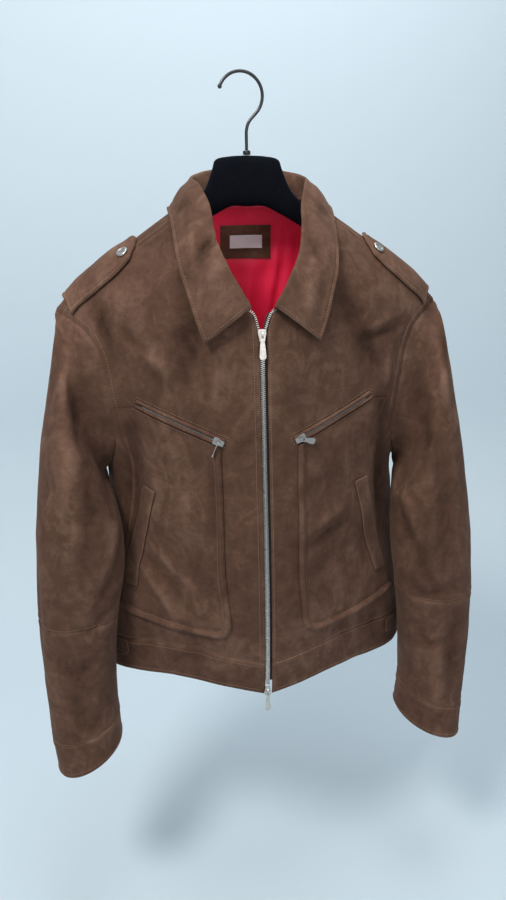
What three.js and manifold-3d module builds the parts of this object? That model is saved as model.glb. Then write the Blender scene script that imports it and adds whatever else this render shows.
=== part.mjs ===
// A man's suede blouson on its velvet hanger, built from the pieces that a maker cuts and sews.
// Millimetres, +Z up. The front faces -Y, so the wearer's left is +X. The origin is the inner top of
// the hanger's hook, where a rail or link carries it. The garment's middle plane lies at CENTRE_X.
import * as THREE from "three";
import { mergeVertices } from "three/addons/utils/BufferGeometryUtils.js";
import Module from "manifold-3d";

const wasm = await Module();
wasm.setup();

// ---------- driving sizes ----------
const CENTRE_X = 8; // the hook's bow is not over its stem, so the garment hangs a little to one side
const HANGER_X = 6; // the hanger's stem
const SUEDE = 1.5; // wall of one layer of suede
const DOUBLE_SUEDE = 2.6; // hem band, cuffs, collar and strap: two layers
const LINING = 1.0;
const SEAM = 0.2; // each piece stops this far short of its seam line
const ROUND = 95; // height over which the shoulder turns from its ridge to the upright front or back
const RIDGE_Y = 0; // the ridge of the shoulder, over the hanger's arms
const SHOULDER_SEAM_DROP = 12; // the shoulder seam lies forward of the ridge and this far below it
const FRONT_EDGE = 4.5; // from the middle of the zip to the folded front edge
const BAND = 48; // height of the hem band
const UNDER = 2.6; // between the suede and the lining
const CHAIN_WIDTH = 5.5;
const SNAP_DIAMETER = 14;
const WIRE = 3.7; // the hanger's hook

// A short table: its columns' names, then a row for each section.
function tableOf(names, ...values) {
  return values.map((row) => Object.fromEntries(names.map((name, i) => [name, row[i]])));
}

// Rows of the body, from hem to neck. half: half width of the oval. side, front, back: depth at the
// side seam, the middle of the front and the middle of the back. bow: 1 is a wedge, 2 an ellipse.
const BODY = tableOf(
  ["z", "half", "side", "front", "bow", "back"],
  [-745, 217, 26, -113, 1.55, 85],
  [-690, 216, 28, -119, 1.55, 87],
  [-640, 213, 32, -122, 1.6, 88],
  [-580, 208, 40, -122, 1.55, 88],
  [-540, 203, 38, -121, 1.55, 87],
  [-505, 197, 31, -119, 1.6, 86],
  [-480, 192, 23, -117, 1.6, 85],
  [-455, 192, 16, -115, 1.6, 84],
  [-400, 203, 6, -112, 1.6, 80],
  [-350, 215, 0, -109, 1.6, 74],
  [-300, 226, 0, -106, 1.6, 66],
  [-250, 240, 0, -98, 1.6, 58],
  [-200, 250, 0, -85, 1.6, 52],
  [-150, 250, 0, -66, 1.6, 47],
  [-100, 250, 0, -50, 1.6, 44],
);
// The ridge of the shoulder, from the middle of the neck out to the sleeve.
const RIDGE = [
  { x: 0, z: -104 },
  { x: 40, z: -118 },
  { x: 80, z: -139 },
  { x: 110, z: -158 },
  { x: 136, z: -176 },
  { x: 163, z: -192 },
  { x: 198, z: -217 },
  { x: 213, z: -231 },
  { x: 224, z: -243 },
  { x: 236, z: -257 },
];
// The armhole seam, seen from the front: from the ridge down to the underarm.
const ARMHOLE = [
  { x: 236, z: -257 },
  { x: 229, z: -260 },
  { x: 209, z: -271 },
  { x: 194, z: -285 },
  { x: 184, z: -307 },
  { x: 179, z: -340 },
  { x: 175, z: -377 },
  { x: 174, z: -408 },
  { x: 180, z: -436 },
  { x: 192, z: -455 },
];
// The neck seam, seen from the front: from the top of the zip to the shoulder seam, and on to the ridge.
const NECK = [
  { x: 13, z: -257 },
  { x: 31, z: -248 },
  { x: 50, z: -230 },
  { x: 66, z: -205 },
  { x: 76, z: -180 },
  { x: 81, z: -155 },
];
const NECK_RIDGE_X = 80;
const BACK_NECK_Z = -136;

// ---------- interpolation ----------
// A column of a table at one value of another column, on a smooth curve through the rows.
function read(table, key, column, at) {
  const rising = table[0][key] < table[table.length - 1][key];
  const rows = rising ? table : [...table].reverse();
  const last = rows.length - 1;
  let i = rows.findIndex((row) => row[key] > at) - 1;
  if (i < 0) i = at <= rows[0][key] ? 0 : last - 1;
  const slope = (k) => {
    const a = rows[Math.max(k - 1, 0)];
    const b = rows[Math.min(k + 1, last)];
    return (b[column] - a[column]) / (b[key] - a[key]);
  };
  const [a, b] = [rows[i], rows[i + 1]];
  const span = b[key] - a[key];
  const t = THREE.MathUtils.clamp((at - a[key]) / span, 0, 1);
  const ease = t * t * (3 - 2 * t);
  return (
    a[column] * (1 - ease) +
    b[column] * ease +
    span * slope(i) * t * (1 - t) * (1 - t) -
    span * slope(i + 1) * t * t * (1 - t)
  );
}

// Points at equal steps along a table of x and z.
function along(table, from, to, steps) {
  const curve = new THREE.CatmullRomCurve3(
    table.map((row) => new THREE.Vector3(row.x, 0, row.z)),
  );
  return Array.from({ length: steps + 1 }, (_, i) => {
    const p = curve.getPointAt(from + ((to - from) * i) / steps);
    return { x: p.x, z: p.z };
  });
}

const mix = (a, b, t) => a + (b - a) * t;
const mixPoint = (a, b, t) => ({ x: mix(a.x, b.x, t), z: mix(a.z, b.z, t) });
const shares = (n) => Array.from({ length: n + 1 }, (_, i) => i / n);

// ---------- the body's own surface ----------
const ridge = (x) => read(RIDGE, "x", "z", Math.abs(x));
const halfWidth = (z) => read(BODY, "z", "half", z);

// Depth of the body's outer face. face is "front" or "back".
function depth(x, z, face) {
  const side = read(BODY, "z", "side", z);
  const middle = read(BODY, "z", face, z);
  const bow = face === "front" ? read(BODY, "z", "bow", z) : 2;
  const out = Math.min(Math.abs(x) / halfWidth(z), 1);
  const full = side + (middle - side) * Math.pow(1 - Math.pow(out, bow), 1 / bow);
  const below = THREE.MathUtils.clamp((ridge(x) - z) / ROUND, 0, 1);
  return RIDGE_Y + (full - RIDGE_Y) * Math.sqrt(1 - (1 - below) * (1 - below));
}

const onBody = (p, face) => new THREE.Vector3(p.x, depth(p.x, p.z, face), p.z);

function outward(x, z, face) {
  const step = 0.5;
  const dx = (depth(x + step, z, face) - depth(x - step, z, face)) / (2 * step);
  const dz = (depth(x, z + step, face) - depth(x, z - step, face)) / (2 * step);
  const normal = new THREE.Vector3(dx, -1, dz).normalize();
  return face === "front" ? normal : normal.negate();
}

// A point lifted off the body.
const lifted = (x, z, lift, face = "front") =>
  onBody({ x, z }, face).addScaledVector(outward(x, z, face), lift);

// Height of the shoulder over a point seen from above.
function shoulderHeight(x, y) {
  const face = y < RIDGE_Y ? "front" : "back";
  let [low, high] = [ridge(x) - ROUND, ridge(x)];
  for (let i = 0; i < 30; i++) {
    const middle = (low + high) / 2;
    if (Math.abs(depth(x, middle, face)) > Math.abs(y)) low = middle;
    else high = middle;
  }
  return (low + high) / 2;
}

// ---------- making walls and solids ----------
// A patch of points between four edges, each a list of {x, z}; rows run from bottom to top.
function fill(bottom, top, left, right) {
  return left.map((_, i) => {
    const v = i / (left.length - 1);
    return bottom.map((_, j) => {
      const u = j / (bottom.length - 1);
      const at = (k) =>
        mix(bottom[j][k], top[j][k], v) +
        mix(left[i][k], right[i][k], u) -
        mix(mix(bottom[0][k], bottom.at(-1)[k], u), mix(top[0][k], top.at(-1)[k], u), v);
      return { x: at("x"), z: at("z") };
    });
  });
}

const mirrored = (grid) =>
  grid.map((row) => row.map((p) => new THREE.Vector3(-p.x, p.y, p.z)).reverse());

function geometryOf(positions, triangles) {
  const geometry = new THREE.BufferGeometry();
  geometry.setAttribute("position", new THREE.Float32BufferAttribute(positions, 3));
  geometry.setIndex(triangles);
  return geometry;
}

// One surface through grids of points. It faces along columns x rows, or the other way if flipped.
function surface(pieces) {
  const points = [];
  const triangles = [];
  for (const { grids, flip } of pieces) {
    for (const grid of grids) {
      const base = points.length;
      const width = grid[0].length;
      points.push(...grid.flat());
      for (let i = 0; i + 1 < grid.length; i++) {
        for (let j = 0; j + 1 < width; j++) {
          const a = base + i * width + j;
          const [b, c, d] = flip ? [a + width, a + width + 1, a + 1] : [a + 1, a + width + 1, a + width];
          const shorter = points[a].distanceTo(points[c]) < points[b].distanceTo(points[d]) + 1e-6;
          triangles.push(...(shorter ? [a, b, c, a, c, d] : [a, b, d, b, c, d]));
        }
      }
    }
  }
  const made = mergeVertices(geometryOf(points.flatMap((p) => p.toArray()), triangles), 1e-2);
  made.computeVertexNormals();
  return made;
}

const vectorAt = (attribute, i) => new THREE.Vector3().fromBufferAttribute(attribute, i);
const keyOf = (p) => p.toArray().map((value) => Math.round(value * 20)).join();

const LEAST_MITRE = 0.55; // pieces folded more sharply than this keep their own edges

// The direction halfway between those that the pieces at a seam face, at each point they share, so
// that two walls that meet there are both cut along the same mitre.
function mitres(pieces) {
  const facing = new Map();
  for (const piece of pieces) {
    const { position, normal } = surface([piece]).attributes;
    for (let i = 0; i < position.count; i++) {
      const key = keyOf(vectorAt(position, i));
      facing.set(key, vectorAt(normal, i).add(facing.get(key) ?? new THREE.Vector3()));
    }
  }
  facing.forEach((direction) => direction.normalize());
  return facing;
}

// A closed wall. Its outer face lies lift above the grids' points, and its inner face thickness
// further in. Its free edges stop a seam allowance short of the grids' edges.
function wall(grids, thickness, { lift = 0, flip = false, seam = SEAM, facing = new Map() } = {}) {
  const sheet = surface([{ grids, flip }]);
  const index = [...sheet.index.array];
  const faces = [];
  const edges = new Set();
  for (let i = 0; i < index.length; i += 3) {
    const corners = index.slice(i, i + 3);
    if (new Set(corners).size < 3) continue;
    faces.push(corners);
    corners.forEach((a, k) => edges.add(a + ">" + corners[(k + 1) % 3]));
  }
  const border = [...edges]
    .map((edge) => edge.split(">").map(Number))
    .filter(([a, b]) => !edges.has(b + ">" + a));
  const count = sheet.attributes.position.count;
  const place = Array.from({ length: count }, (_, i) => vectorAt(sheet.attributes.position, i));
  const normal = place.map((p, i) => {
    const own = vectorAt(sheet.attributes.normal, i);
    const shared = facing.get(keyOf(p));
    return shared && shared.dot(own) > LEAST_MITRE ? shared : own;
  });
  const inward = place.map(() => new THREE.Vector3());
  for (const [a, b] of border) {
    const run = place[b].clone().sub(place[a]).normalize();
    inward[a].add(normal[a].clone().cross(run));
    inward[b].add(normal[b].clone().cross(run));
  }
  const moved = (i, distance) =>
    place[i]
      .clone()
      .addScaledVector(inward[i].clone().normalize(), seam)
      .addScaledVector(normal[i], distance)
      .toArray();
  const outer = place.flatMap((_, i) => moved(i, lift));
  const inner = place.flatMap((_, i) => moved(i, lift - thickness));
  const shell = faces.flatMap(([a, b, c]) => [a, b, c, c + count, b + count, a + count]);
  const rim = border.flatMap(([a, b]) => [b, a, a + count, b, a + count, b + count]);
  return geometryOf([...outer, ...inner], [...shell, ...rim]);
}

function solid(geometry) {
  const bare = new THREE.BufferGeometry();
  bare.setAttribute("position", geometry.getAttribute("position"));
  bare.setIndex(geometry.index);
  const merged = mergeVertices(bare, 1e-3);
  return new wasm.Manifold(
    new wasm.Mesh({
      numProp: 3,
      vertProperties: merged.attributes.position.array,
      triVerts: new Uint32Array(merged.index.array),
    }),
  );
}

function joined(...geometries) {
  const mesh = geometries
    .map(solid)
    .reduce((a, b) => a.add(b))
    .getMesh();
  return geometryOf(mesh.vertProperties, [...mesh.triVerts]);
}

function reflected(geometry) {
  const mirror = geometry.clone().scale(-1, 1, 1);
  const index = [...mirror.index.array];
  for (let i = 0; i < index.length; i += 3) [index[i + 1], index[i + 2]] = [index[i + 2], index[i + 1]];
  return geometryOf(mirror.attributes.position.array, index);
}

// A solid through closed rings of points, with flat ends.
function lofted(rings) {
  const count = rings[0].length;
  const points = rings.flat();
  const triangles = [];
  for (let i = 0; i + 1 < rings.length; i++) {
    for (let k = 0; k < count; k++) {
      const [a, b] = [i * count + k, i * count + ((k + 1) % count)];
      triangles.push(a, b, b + count, a, b + count, a + count);
    }
  }
  const last = (rings.length - 1) * count;
  for (let k = 1; k + 1 < count; k++) triangles.push(0, k + 1, k, last, last + k, last + k + 1);
  return geometryOf(points.flatMap((p) => p.toArray()), triangles);
}

function tube(path, radius, steps, sides) {
  const { normals, binormals } = path.computeFrenetFrames(steps);
  return lofted(
    shares(steps).map((t, i) =>
      Array.from({ length: sides }, (_, k) => {
        const turn = (2 * Math.PI * k) / sides;
        return path
          .getPointAt(t)
          .addScaledVector(normals[i], radius * Math.cos(turn))
          .addScaledVector(binormals[i], radius * Math.sin(turn));
      }),
    ),
  );
}

// ---------- panels ----------
const SIDE_ROWS = 6; // from the hem seam up to the underarm
const ARM_ROWS = 7; // from the underarm up to the shoulder seam
const BACK_ARM_ROWS = 9; // from the underarm up to the ridge
const RIDGE_COLUMNS = 7; // along the shoulder
const NECK_COLUMNS = 2; // from the middle of the back neck to the shoulder
const HEM_LEVEL = -723;
const HEM_DIP = 15; // the hem hangs this much lower at the zip
const HEM_DIP_WIDTH = 95;
const SIDE_DROP = 20; // the hem hangs this much lower at the sides
const SIDE_DROP_START = 120;
const SIDE_DROP_WIDTH = 80;
const SIDE_LEVEL = HEM_LEVEL - SIDE_DROP;
const UNDERARM = ARMHOLE.at(-1);

function hemEdge(x, face) {
  const nearZip = face === "front" ? Math.pow(Math.max(0, 1 - x / HEM_DIP_WIDTH), 1.3) : 0;
  const nearSide = Math.pow(THREE.MathUtils.clamp((x - SIDE_DROP_START) / SIDE_DROP_WIDTH, 0, 1), 1.3);
  return HEM_LEVEL - HEM_DIP * nearZip - SIDE_DROP * nearSide;
}
const roundSpacing = (u) => Math.sin((u * Math.PI) / 2);

// The points of the hem band at one height up the band, from the front edge or middle to the side.
function hemRow(columns, face, up) {
  const start = face === "front" ? FRONT_EDGE : 0;
  return shares(columns).map((u) => {
    const x = mix(start, halfWidth(SIDE_LEVEL + up), roundSpacing(u));
    return { x, z: hemEdge(x, face) + up };
  });
}

const sideSeam = shares(SIDE_ROWS).map((v) => {
  const z = mix(SIDE_LEVEL + BAND, UNDERARM.z, v);
  return { x: halfWidth(z), z };
});
const frontArmhole = along(ARMHOLE.slice(1), 0, 1, ARM_ROWS).reverse();
const backArmhole = along(ARMHOLE, 0, 1, BACK_ARM_ROWS).reverse();
const armholeTop = shares(2).map((t) => mixPoint(ARMHOLE[1], ARMHOLE[0], t));
const ridgeLine = shares(RIDGE_COLUMNS).map((u) => {
  const x = mix(NECK_RIDGE_X, ARMHOLE[0].x, u);
  return { x, z: u === 1 ? ARMHOLE[0].z : ridge(x) };
});
const shoulderSeam = shares(RIDGE_COLUMNS).map((u) => {
  const x = mix(NECK.at(-1).x, ARMHOLE[1].x, u);
  return u === 1 ? ARMHOLE[1] : { x, z: ridge(x) - SHOULDER_SEAM_DROP };
});
const neckTop = [shoulderSeam[0], { x: NECK_RIDGE_X, z: ridge(NECK_RIDGE_X) }];

const ZIP_TOP = -282; // where the front edges start to part above the zip
const frontEdge = [
  ...shares(7).map((v) => ({ x: FRONT_EDGE, z: mix(hemEdge(FRONT_EDGE, "front") + BAND, ZIP_TOP, v) })),
  { x: FRONT_EDGE + 3, z: ZIP_TOP + 12 },
  ...along([...NECK.slice(0, -1), shoulderSeam[0]], 0, 1, 4),
];

const frontGrid = fill(
  hemRow(RIDGE_COLUMNS, "front", BAND),
  shoulderSeam,
  frontEdge,
  [...sideSeam, ...frontArmhole.slice(1)],
).map((row) => row.map((p) => onBody(p, "front")));

const backRows = SIDE_ROWS + BACK_ARM_ROWS;
const backNeck = shares(NECK_COLUMNS).map((u) => ({
  x: NECK_RIDGE_X * u,
  z: mix(BACK_NECK_Z, ridge(NECK_RIDGE_X), u),
}));
const halfBack = fill(
  hemRow(NECK_COLUMNS + RIDGE_COLUMNS, "back", BAND),
  [...backNeck, ...ridgeLine.slice(1)],
  shares(backRows).map((v) => ({ x: 0, z: mix(HEM_LEVEL + BAND, BACK_NECK_Z, v) })),
  [...sideSeam, ...backArmhole.slice(1)],
).map((row) => row.map((p) => onBody(p, "back")));
const whole = (half) => half.map((row, i) => [...mirrored(half)[i].slice(0, -1), ...row]);
const backGrid = whole(halfBack);

// The back runs over the ridge and down to the shoulder seam. Its rows go down from the ridge.
const overRidge = fill(
  ridgeLine,
  shoulderSeam,
  [...neckTop].reverse().flatMap((p, i, all) => (i ? [mixPoint(all[0], p, 0.4), p] : [p])),
  [ARMHOLE[0], armholeTop[1], ARMHOLE[1]],
).map((row) => row.map((p) => onBody(p, "front")));

// ---------- sleeves ----------
// Sections of a sleeve. out and in: its outer and inner side, seen from the front, each given for
// the wearer's left and right sleeve. front, back: how far it stands out to the front and the back.
const SLEEVE = tableOf(
  ["name", "outZ", "outLeft", "outRight", "outY", "inZ", "inLeft", "inRight", "inY", "front", "back"],
  ["cap", -275, 240, 236, -6, -465, 194, 194, 7, 52, 42],
  ["under cap", -312, 246, 243, -12, -479, 190, 188, -15, 56, 34],
  ["biceps", -362, 255, 254, -16, -494, 184, 181, -26, 59, 34],
  ["upper", -425, 268, 267, -20, -516, 180, 175, -36, 60, 36],
  ["middle", -495, 280, 277, -25, -552, 179, 173, -40, 59, 37],
  ["above elbow", -565, 289, 285, -30, -592, 182, 177, -43, 57, 37],
  ["elbow", -642, 294, 290, -34, -636, 189, 186, -43, 54, 40],
  ["forearm", -705, 293, 290, -38, -690, 196, 193, -42, 52, 46],
  ["lower", -762, 290, 288, -42, -742, 199, 197, -43, 51, 47],
  ["cuff seam", -812, 287, 286, -46, -786, 199, 197, -45, 50, 48],
  ["cuff edge", -862, 283, 281, -50, -829, 196, 196, -47, 50, 49],
);
const ELBOW = SLEEVE.findIndex((row) => row.name === "elbow");
const CUFF = SLEEVE.findIndex((row) => row.name === "cuff seam");
const HALF_RING = BACK_ARM_ROWS;
const BACK_SPACING = 0.8; // draws the back's points toward the underarm
const SLEEVE_BOW = 0.85; // under 1, a sleeve is fuller than an oval

// The armhole as a ring: from the ridge down its front to the underarm, and up its back.
const armholeRing = [
  ...[...armholeTop].reverse().map((p) => onBody(p, "front")),
  ...[...frontArmhole].reverse().slice(1).map((p) => onBody(p, "front")),
  ...backArmhole.slice(1).map((p) => onBody(p, "back")),
];

function sleeveRing(row, side) {
  const outer = new THREE.Vector3(row["out" + side], row.outY, row.outZ);
  const inner = new THREE.Vector3(row["in" + side], row.inY, row.inZ);
  const centre = outer.clone().add(inner).multiplyScalar(0.5);
  const across = outer.clone().sub(inner).multiplyScalar(0.5);
  return Array.from({ length: 2 * HALF_RING + 1 }, (_, k) => {
    const front = k <= HALF_RING;
    const turn = Math.PI * (front ? k / HALF_RING : Math.pow(2 - k / HALF_RING, BACK_SPACING));
    const bulge = Math.pow(Math.sin(turn), SLEEVE_BOW);
    return centre
      .clone()
      .addScaledVector(across, Math.cos(turn))
      .add(new THREE.Vector3(0, bulge * (front ? -row.front : row.back), 0));
  });
}

// ---------- materials ----------
const finish = (color, roughness, metalness = 0) =>
  new THREE.MeshStandardMaterial({ color, roughness, metalness });
const suede = finish(0x5a463a, 0.95);
const suedeLight = finish(0x76604f, 0.95);
const liningCloth = finish(0xd62a48, 0.6);
const velvet = finish(0x06080f, 0.9);
const blackMetal = finish(0x15161a, 0.4, 0.8);
const silver = finish(0xcfcdc8, 0.3, 1);
const tapeCloth = finish(0x2c221d, 0.9);
const labelCloth = finish(0xeceef0, 0.7);

const garment = new THREE.Group();
garment.position.x = CENTRE_X;
const hanger = new THREE.Group();
hanger.position.x = HANGER_X;
const part = new THREE.Group();
part.add(garment, hanger);

function add(name, geometry, material, group = garment) {
  const mesh = new THREE.Mesh(geometry, material);
  mesh.name = name;
  group.add(mesh);
  return mesh;
}

// One piece on each side of the garment: the wearer's left is +X.
function addPair(name, grid, thickness, material, options) {
  add(name + "_left", wall([grid], thickness, options), material);
  add(name + "_right", wall([mirrored(grid)], thickness, options), material);
}

// ---------- the shell ----------
const bandGrid = (face, columns) =>
  shares(2).map((v) => hemRow(columns, face, BAND * v).map((p) => onBody(p, face)));
const BAND_LIFT = 0.6; // the double layers stand a little proud of the single ones
const shell = [
  { name: "front_left", grids: [frontGrid], thickness: SUEDE },
  { name: "front_right", grids: [mirrored(frontGrid)], thickness: SUEDE },
  { name: "back", grids: [backGrid, overRidge, mirrored(overRidge)], thickness: SUEDE, flip: true },
];
const frontBand = bandGrid("front", RIDGE_COLUMNS);
const backBand = whole(bandGrid("back", NECK_COLUMNS + RIDGE_COLUMNS));
shell.push(
  { name: "hem_band_front_left", grids: [frontBand], thickness: DOUBLE_SUEDE, lift: BAND_LIFT },
  { name: "hem_band_front_right", grids: [mirrored(frontBand)], thickness: DOUBLE_SUEDE, lift: BAND_LIFT },
  { name: "hem_band_back", grids: [backBand], thickness: DOUBLE_SUEDE, lift: BAND_LIFT, flip: true },
);
for (const [side, column, sign] of [["left", "Left", 1], ["right", "Right", -1]]) {
  const rings = [armholeRing, ...SLEEVE.map((row) => sleeveRing(row, column))].map((ring) =>
    ring.map((p) => new THREE.Vector3(sign * p.x, p.y, p.z)),
  );
  const flip = sign < 0;
  shell.push(
    { name: "sleeve_upper_" + side, grids: [rings.slice(0, ELBOW + 2)], thickness: SUEDE, flip },
    { name: "sleeve_lower_" + side, grids: [rings.slice(ELBOW + 1, CUFF + 2)], thickness: SUEDE, flip },
    { name: "cuff_" + side, grids: [rings.slice(CUFF + 1)], thickness: DOUBLE_SUEDE, lift: BAND_LIFT, flip },
  );
}
const facing = mitres(shell);
for (const { name, grids, thickness, lift, flip } of shell) {
  add(name, wall(grids, thickness, { lift, flip, facing }), suede);
}

// The fronts and the back as one surface, for the pieces that lie on them.
const cloth = surface(shell.slice(0, 3));
const corners = Array.from({ length: cloth.index.count / 3 }, (_, i) =>
  [0, 1, 2].map((k) => ({
    at: vectorAt(cloth.attributes.position, cloth.index.getX(3 * i + k)),
    normal: vectorAt(cloth.attributes.normal, cloth.index.getX(3 * i + k)),
  })),
);

// The point of the cloth met first when looking along one axis at a place given by the other two.
// from: "front" and "back" look along Y at x and z, and "above" looks down at x and y.
function onCloth({ x, z, y }, from, lift = 0) {
  const [across, depthKey, target] = from === "above" ? ["y", "z", y] : ["z", "y", z];
  const sign = from === "front" ? -1 : 1;
  let best;
  for (const triangle of corners) {
    const [a, b, c] = triangle.map(({ at }) => [at.x - x, at[across] - target]);
    const area = (b[0] - a[0]) * (c[1] - a[1]) - (b[1] - a[1]) * (c[0] - a[0]);
    const parts = [b[0] * c[1] - b[1] * c[0], c[0] * a[1] - c[1] * a[0], a[0] * b[1] - a[1] * b[0]];
    const weights = parts.map((part) => part / area);
    if (!(Math.min(...weights) >= -1e-6)) continue;
    const sum = (key) => {
      const total = new THREE.Vector3();
      triangle.forEach((corner, i) => total.addScaledVector(corner[key], weights[i]));
      return total;
    };
    const at = sum("at");
    if (!best || (at[depthKey] - best.at[depthKey]) * sign > 0) {
      best = { at, normal: sum("normal").normalize() };
    }
  }
  return best ? best.at.addScaledVector(best.normal, lift) : onBody({ x, z }, from);
}

// ---------- the lining ----------
const LINING_LIFT = -(SUEDE + UNDER);
const LINING_SEAM = 1.5;
const LINING_START = 15; // the front linings begin beside the zip tapes
const frontLining = fill(
  hemRow(RIDGE_COLUMNS, "front", BAND).map((p) => ({ ...p, x: Math.max(p.x, LINING_START) })),
  ridgeLine,
  [...frontEdge.map((p) => ({ x: Math.max(p.x, LINING_START), z: p.z })), neckTop[1]],
  [...sideSeam, ...frontArmhole.slice(1), ARMHOLE[0]],
).map((row) => row.map((p) => onBody(p, "front")));
const linings = [
  { name: "lining_front_left", grids: [frontLining] },
  { name: "lining_front_right", grids: [mirrored(frontLining)] },
  { name: "lining_back", grids: [backGrid], flip: true },
];
const liningFacing = mitres(linings);
for (const { name, grids, flip } of linings) {
  const options = { lift: LINING_LIFT, flip, facing: liningFacing, seam: LINING_SEAM };
  add(name, wall(grids, LINING, options), liningCloth);
}

// ---------- the collar ----------
// From the middle of the back to the point of the leaf. roll: the fold at the top of the stand.
// edge: the free edge of the leaf. The seam lies on the neck line, neckX out from the middle.
const COLLAR = tableOf(
  ["name", "neckX", "neckZ", "rollX", "rollY", "rollZ", "edgeX", "edgeY", "edgeZ"],
  ["middle back", 0, undefined, 0, 43, -97, 0, 55, -160],
  ["back", 36, undefined, 37, 39, -99, 45, 54, -162],
  ["behind shoulder", 64, undefined, 60, 21, -106, 80, 34, -163],
  ["shoulder", 80, undefined, 66, -3, -113, 95, 2, -146],
  ["ahead of shoulder", undefined, -157, 60, -30, -121, 94, -34, -160],
  ["upper leaf", undefined, -180, 52, -54, -143, 92, -62, -183],
  ["leaf", undefined, -205, 48, -77, -172, 89, -82, -210],
  ["lower leaf", undefined, -230, 41, -93, -199, 81, -96, -238],
  ["above point", undefined, -249, 28, -104, -225, 73, -103, -267],
  ["point", undefined, -257, 13, -107, -251, 65, -106, -290],
);
const COLLAR_STATIONS = 26;
const COLLAR_GAP = 3.4; // from the body to the middle of the collar's wall
const ROLL_OUT = 4; // how far the leaf swings out of the roll
const LEAF_BOW = 3;
// Points across the collar: how far from one of its lines to the next, and how far the leaf bows.
const ACROSS = [
  { from: "seam", to: "roll", at: 0, bow: 0 },
  { from: "seam", to: "roll", at: 0.35, bow: 0 },
  { from: "seam", to: "roll", at: 0.75, bow: 0 },
  { from: "seam", to: "roll", at: 1, bow: 0.4 },
  { from: "roll", to: "edge", at: 0.12, bow: 1 },
  { from: "roll", to: "edge", at: 0.35, bow: 1 },
  { from: "roll", to: "edge", at: 0.6, bow: 0.8 },
  { from: "roll", to: "edge", at: 0.82, bow: 0.4 },
  { from: "roll", to: "edge", at: 1, bow: 0 },
];

function clearOfBody(p, gap) {
  const face = p.y < RIDGE_Y ? "front" : "back";
  const top = shoulderHeight(p.x, p.y);
  const upper = outward(p.x, top, face);
  const level = outward(p.x, Math.min(p.z, ridge(p.x) - 1), face);
  const steep = Math.abs(level.y) > 0.6;
  const distance = steep ? (p.y - depth(p.x, p.z, face)) * level.y : (p.z - top) * upper.z;
  return distance < gap ? p.clone().addScaledVector(steep ? level : upper, gap - distance) : p;
}

function neckPoint(row) {
  const front = row.neckZ !== undefined;
  const z = front ? row.neckZ : mix(BACK_NECK_Z, ridge(NECK_RIDGE_X), row.neckX / NECK_RIDGE_X);
  const x = front ? read(NECK, "z", "x", z) : row.neckX;
  return lifted(x, z, SUEDE / 2, front ? "front" : "back").add(new THREE.Vector3(x > 60 ? -2 : 0, 0, 2));
}

const collarLine = (point) => {
  const half = COLLAR.map(point);
  const other = half.slice(1).map((p) => new THREE.Vector3(-p.x, p.y, p.z));
  return new THREE.CatmullRomCurve3([...other.reverse(), ...half]);
};
const collarLines = {
  seam: collarLine(neckPoint),
  roll: collarLine((row) => new THREE.Vector3(row.rollX, row.rollY, row.rollZ)),
  edge: collarLine((row) => new THREE.Vector3(row.edgeX, row.edgeY, row.edgeZ)),
};
const NECK_AXIS = new THREE.Vector3(0, 0, -190);
const collarGrid = shares(COLLAR_STATIONS).map((t) => {
  const line = (name) => collarLines[name].getPoint(t);
  const leaf = line("edge").sub(line("roll"));
  const out = leaf.cross(collarLines.roll.getTangent(t)).normalize();
  if (out.dot(line("roll").sub(NECK_AXIS)) < 0) out.negate();
  return ACROSS.map(({ from, to, at, bow }, i) => {
    const swing = 0.7 * bow * (at < 0.2 ? ROLL_OUT : ROLL_OUT + LEAF_BOW);
    const p = line(from).lerp(line(to), at).addScaledVector(out, swing);
    return i < 3 ? p : clearOfBody(p, COLLAR_GAP);
  });
});
add("collar", wall([collarGrid], DOUBLE_SUEDE, { lift: DOUBLE_SUEDE / 2, flip: true }), suedeLight);

// As it hangs, the fronts' upper part lies over to the wearer's right of the middle.
const SWAY = -6;
const sway = (z) => SWAY * THREE.MathUtils.smoothstep(z, -650, -560);

// A pair of pieces that lie on the fronts, from one grid of {x, z} on the wearer's left.
function addOnFronts(name, points, thickness, lift, material) {
  const onSide = (sign) =>
    points.map((row) => {
      const placedRow = row.map(({ x, z }) => onCloth({ x: sign * x + sway(z), z }, "front"));
      return sign > 0 ? placedRow : placedRow.reverse();
    });
  add(name + "_left", wall([onSide(1)], thickness, { lift, seam: 0 }), material);
  add(name + "_right", wall([onSide(-1)], thickness, { lift, seam: 0 }), material);
}

// ---------- shoulder straps ----------
const STRAP_LIFT = 4;
const STRAP_WALL = 2.2;
const RIDGE_ROW = 4; // the strap's row of points that lies along the ridge
// The strap seen from above. z here is the depth, from front to back.
const STRAP_FRONT = tableOf(["x", "z"], [142, -39], [157, -42], [180, -38], [198, -31], [212, -24]);
const STRAP_BACK = tableOf(["x", "z"], [142, 6], [162, 7], [186, 8], [208, 8], [221, 7]);
const STRAP_POINT = tableOf(["x", "z"], [142, -39], [135, -27], [134, -11], [142, 6]);
const STRAP_END = tableOf(["x", "z"], [212, -24], [218, -14], [223, -3], [221, 7]);
const strapGrid = fill(
  along(STRAP_FRONT, 0, 1, 9),
  along(STRAP_BACK, 0, 1, 9),
  along(STRAP_POINT, 0, 1, 5),
  along(STRAP_END, 0, 1, 5),
).map((row, i) =>
  row.map((p) => onCloth({ x: p.x, y: i === RIDGE_ROW ? RIDGE_Y : p.z }, "above", STRAP_LIFT)),
);
addPair("shoulder_strap", strapGrid, STRAP_WALL, suedeLight, { seam: 0 });

// ---------- pockets ----------
const POCKET_LIFT = 3.2; // the outer face of the big patch pockets
const WELT_LIFT = 2.3;
const WELT_WALL = 1.5;
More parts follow.
